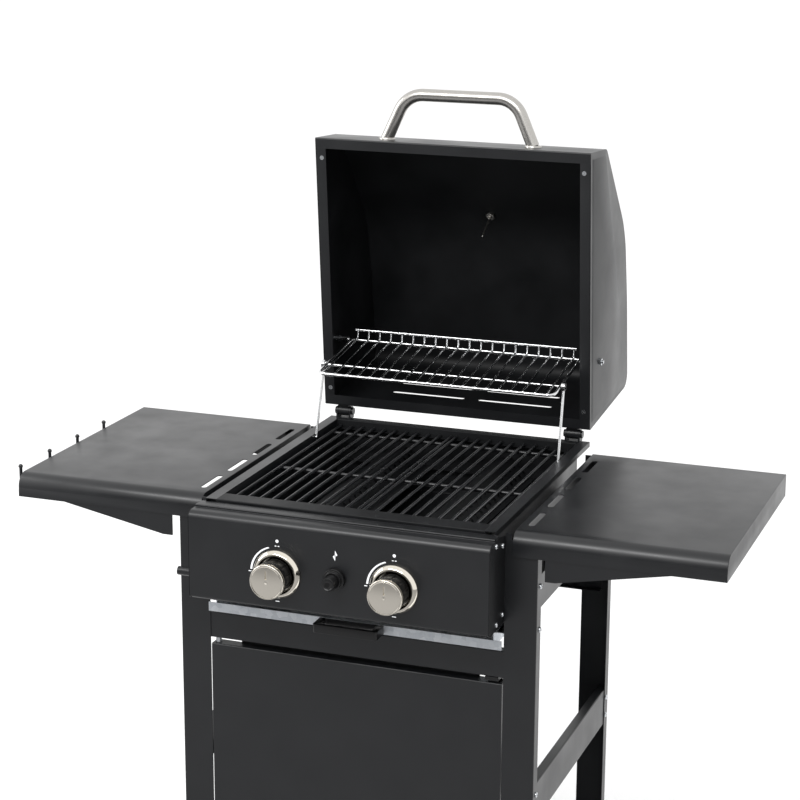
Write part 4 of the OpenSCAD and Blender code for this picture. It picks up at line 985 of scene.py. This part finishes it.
galvanised, zinc_shader, _ = bright_metal("galvanised_sheet", "#d5d9dd", 0.58, 0.08, 3)
place_in_zinc = add_node(galvanised, "ShaderNodeTexCoord").outputs["Object"]
spangle = add_node(galvanised, "ShaderNodeTexVoronoi", [
    ("Vector", place_in_zinc), ("Scale", per(9))])
tint(galvanised, zinc_shader, spangle.outputs["Color"], "#ccd1d6", "#e9ecef")
print("metals ready")

# %% [markdown]
# **Mouldings and print.** The knobs, the igniter and the tray's pull are black phenolic and nylon
# with a fine spark-eroded grain. The tyres are softer and duller. The print is white ink.

# %% Plastics, rubber, ink and ceramic
def moulding(name, code, roughness, grain_size, strength, specular=0.5):
    material, shader, where = finish_of(name, code, 0.0, roughness, Specular_IOR_Level=specular)
    grain = noise(material, where, grain_size, 3.0)
    roughen(material, shader, grain, roughness - 0.05, roughness + 0.08)
    emboss(material, shader, grain, strength, 0.1)
    return material


phenolic = moulding("black_phenolic_moulding", "#0b0b0c", 0.32, 0.8, 0.15)
rubber = moulding("black_tyre_plastic", "#141516", 0.62, 1.5, 0.3, 0.35)
ink = moulding("white_print_ink", "#e9ebee", 0.5, 0.6, 0.05)
ceramic = moulding("white_glazed_ceramic", "#e6dfd2", 0.3, 3, 0.05)
dial_ink = moulding("black_dial_ink", "#101112", 0.5, 0.6, 0.05)
paper = moulding("pale_studio_floor", "#ffffff", 0.85, 40, 0.02, 0.1)
cloth = moulding("grey_studio_cloth", "#9d9d9e", 0.9, 3, 0.1, 0.1)
flag_black = moulding("black_studio_flag", "#4a4a4b", 0.9, 3, 0.1, 0.1)
print("plastics ready")

# %% [markdown]
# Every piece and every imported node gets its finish. The record's slot names choose most of them,
# and the named lists below pick out what differs.

# %% Paint
by_slot = {
    "black_powder_coat": satin_black, "black_enamel": heat_black, "black_wire": satin_black,
    "brushed_stainless": brushed, "chrome_plate": warm_chrome, "zinc_plated_steel": zinc,
    "galvanised_sheet": galvanised, "brass": brass, "black_plastic": phenolic,
    "white_ceramic": ceramic,
}
by_name = {
    "panel_print": ink, "thermometer_scale": dial_ink, "front_tyre": rubber, "rear_tyre": rubber,
    "warming_rack": wire_chrome, "rack_legs": wire_chrome, "grate_left": grate_black,
    "grate_right": grate_black, "burner_left": burner_steel, "burner_right": burner_steel,
    "gas_manifold": burner_steel, "studio_floor": paper, "dark_cloth": cloth,
    "dark_wall": flag_black, "firebox_left": satin_black,
    "firebox_right": satin_black,
}
node_slot = {part["node"]: part["material_slot"] for part in frame["record"]["subparts"]}
painted = 0
for piece in list(scene.objects):
    if piece.type != "MESH":
        continue
    slot = piece.get("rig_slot") or node_slot.get(piece.name)
    chosen = by_name.get(piece.name) or by_slot[slot]
    piece.data.materials.clear()
    piece.data.materials.append(chosen)
    painted += 1
print("painted", painted)

# %% [markdown]
# The lid's sheets are satin outside and heat-proof black inside. The inner faces are chosen by
# where they look, and given the second material.

# %% Inside of the lid
def inside_faces(piece, looks_inward):
    piece.data.materials.append(heat_black)
    for face in piece.data.polygons:
        if looks_inward(face.center, face.normal):
            face.material_index = 1
    count = sum(face.material_index for face in piece.data.polygons)
    print(piece.name, count, "inner faces")


lid_middle = ORIGIN + (lid_matrix @ Vector((0, -LID_DEPTH / 2, LID_HEIGHT * 0.35))) * MM
inside_faces(roof, lambda at, normal: normal.dot(lid_middle - at) > 0 and abs(normal.x) < 0.5)
inside_faces(end_right, lambda at, normal: normal.x < -0.9)
inside_faces(end_left, lambda at, normal: normal.x > 0.9)
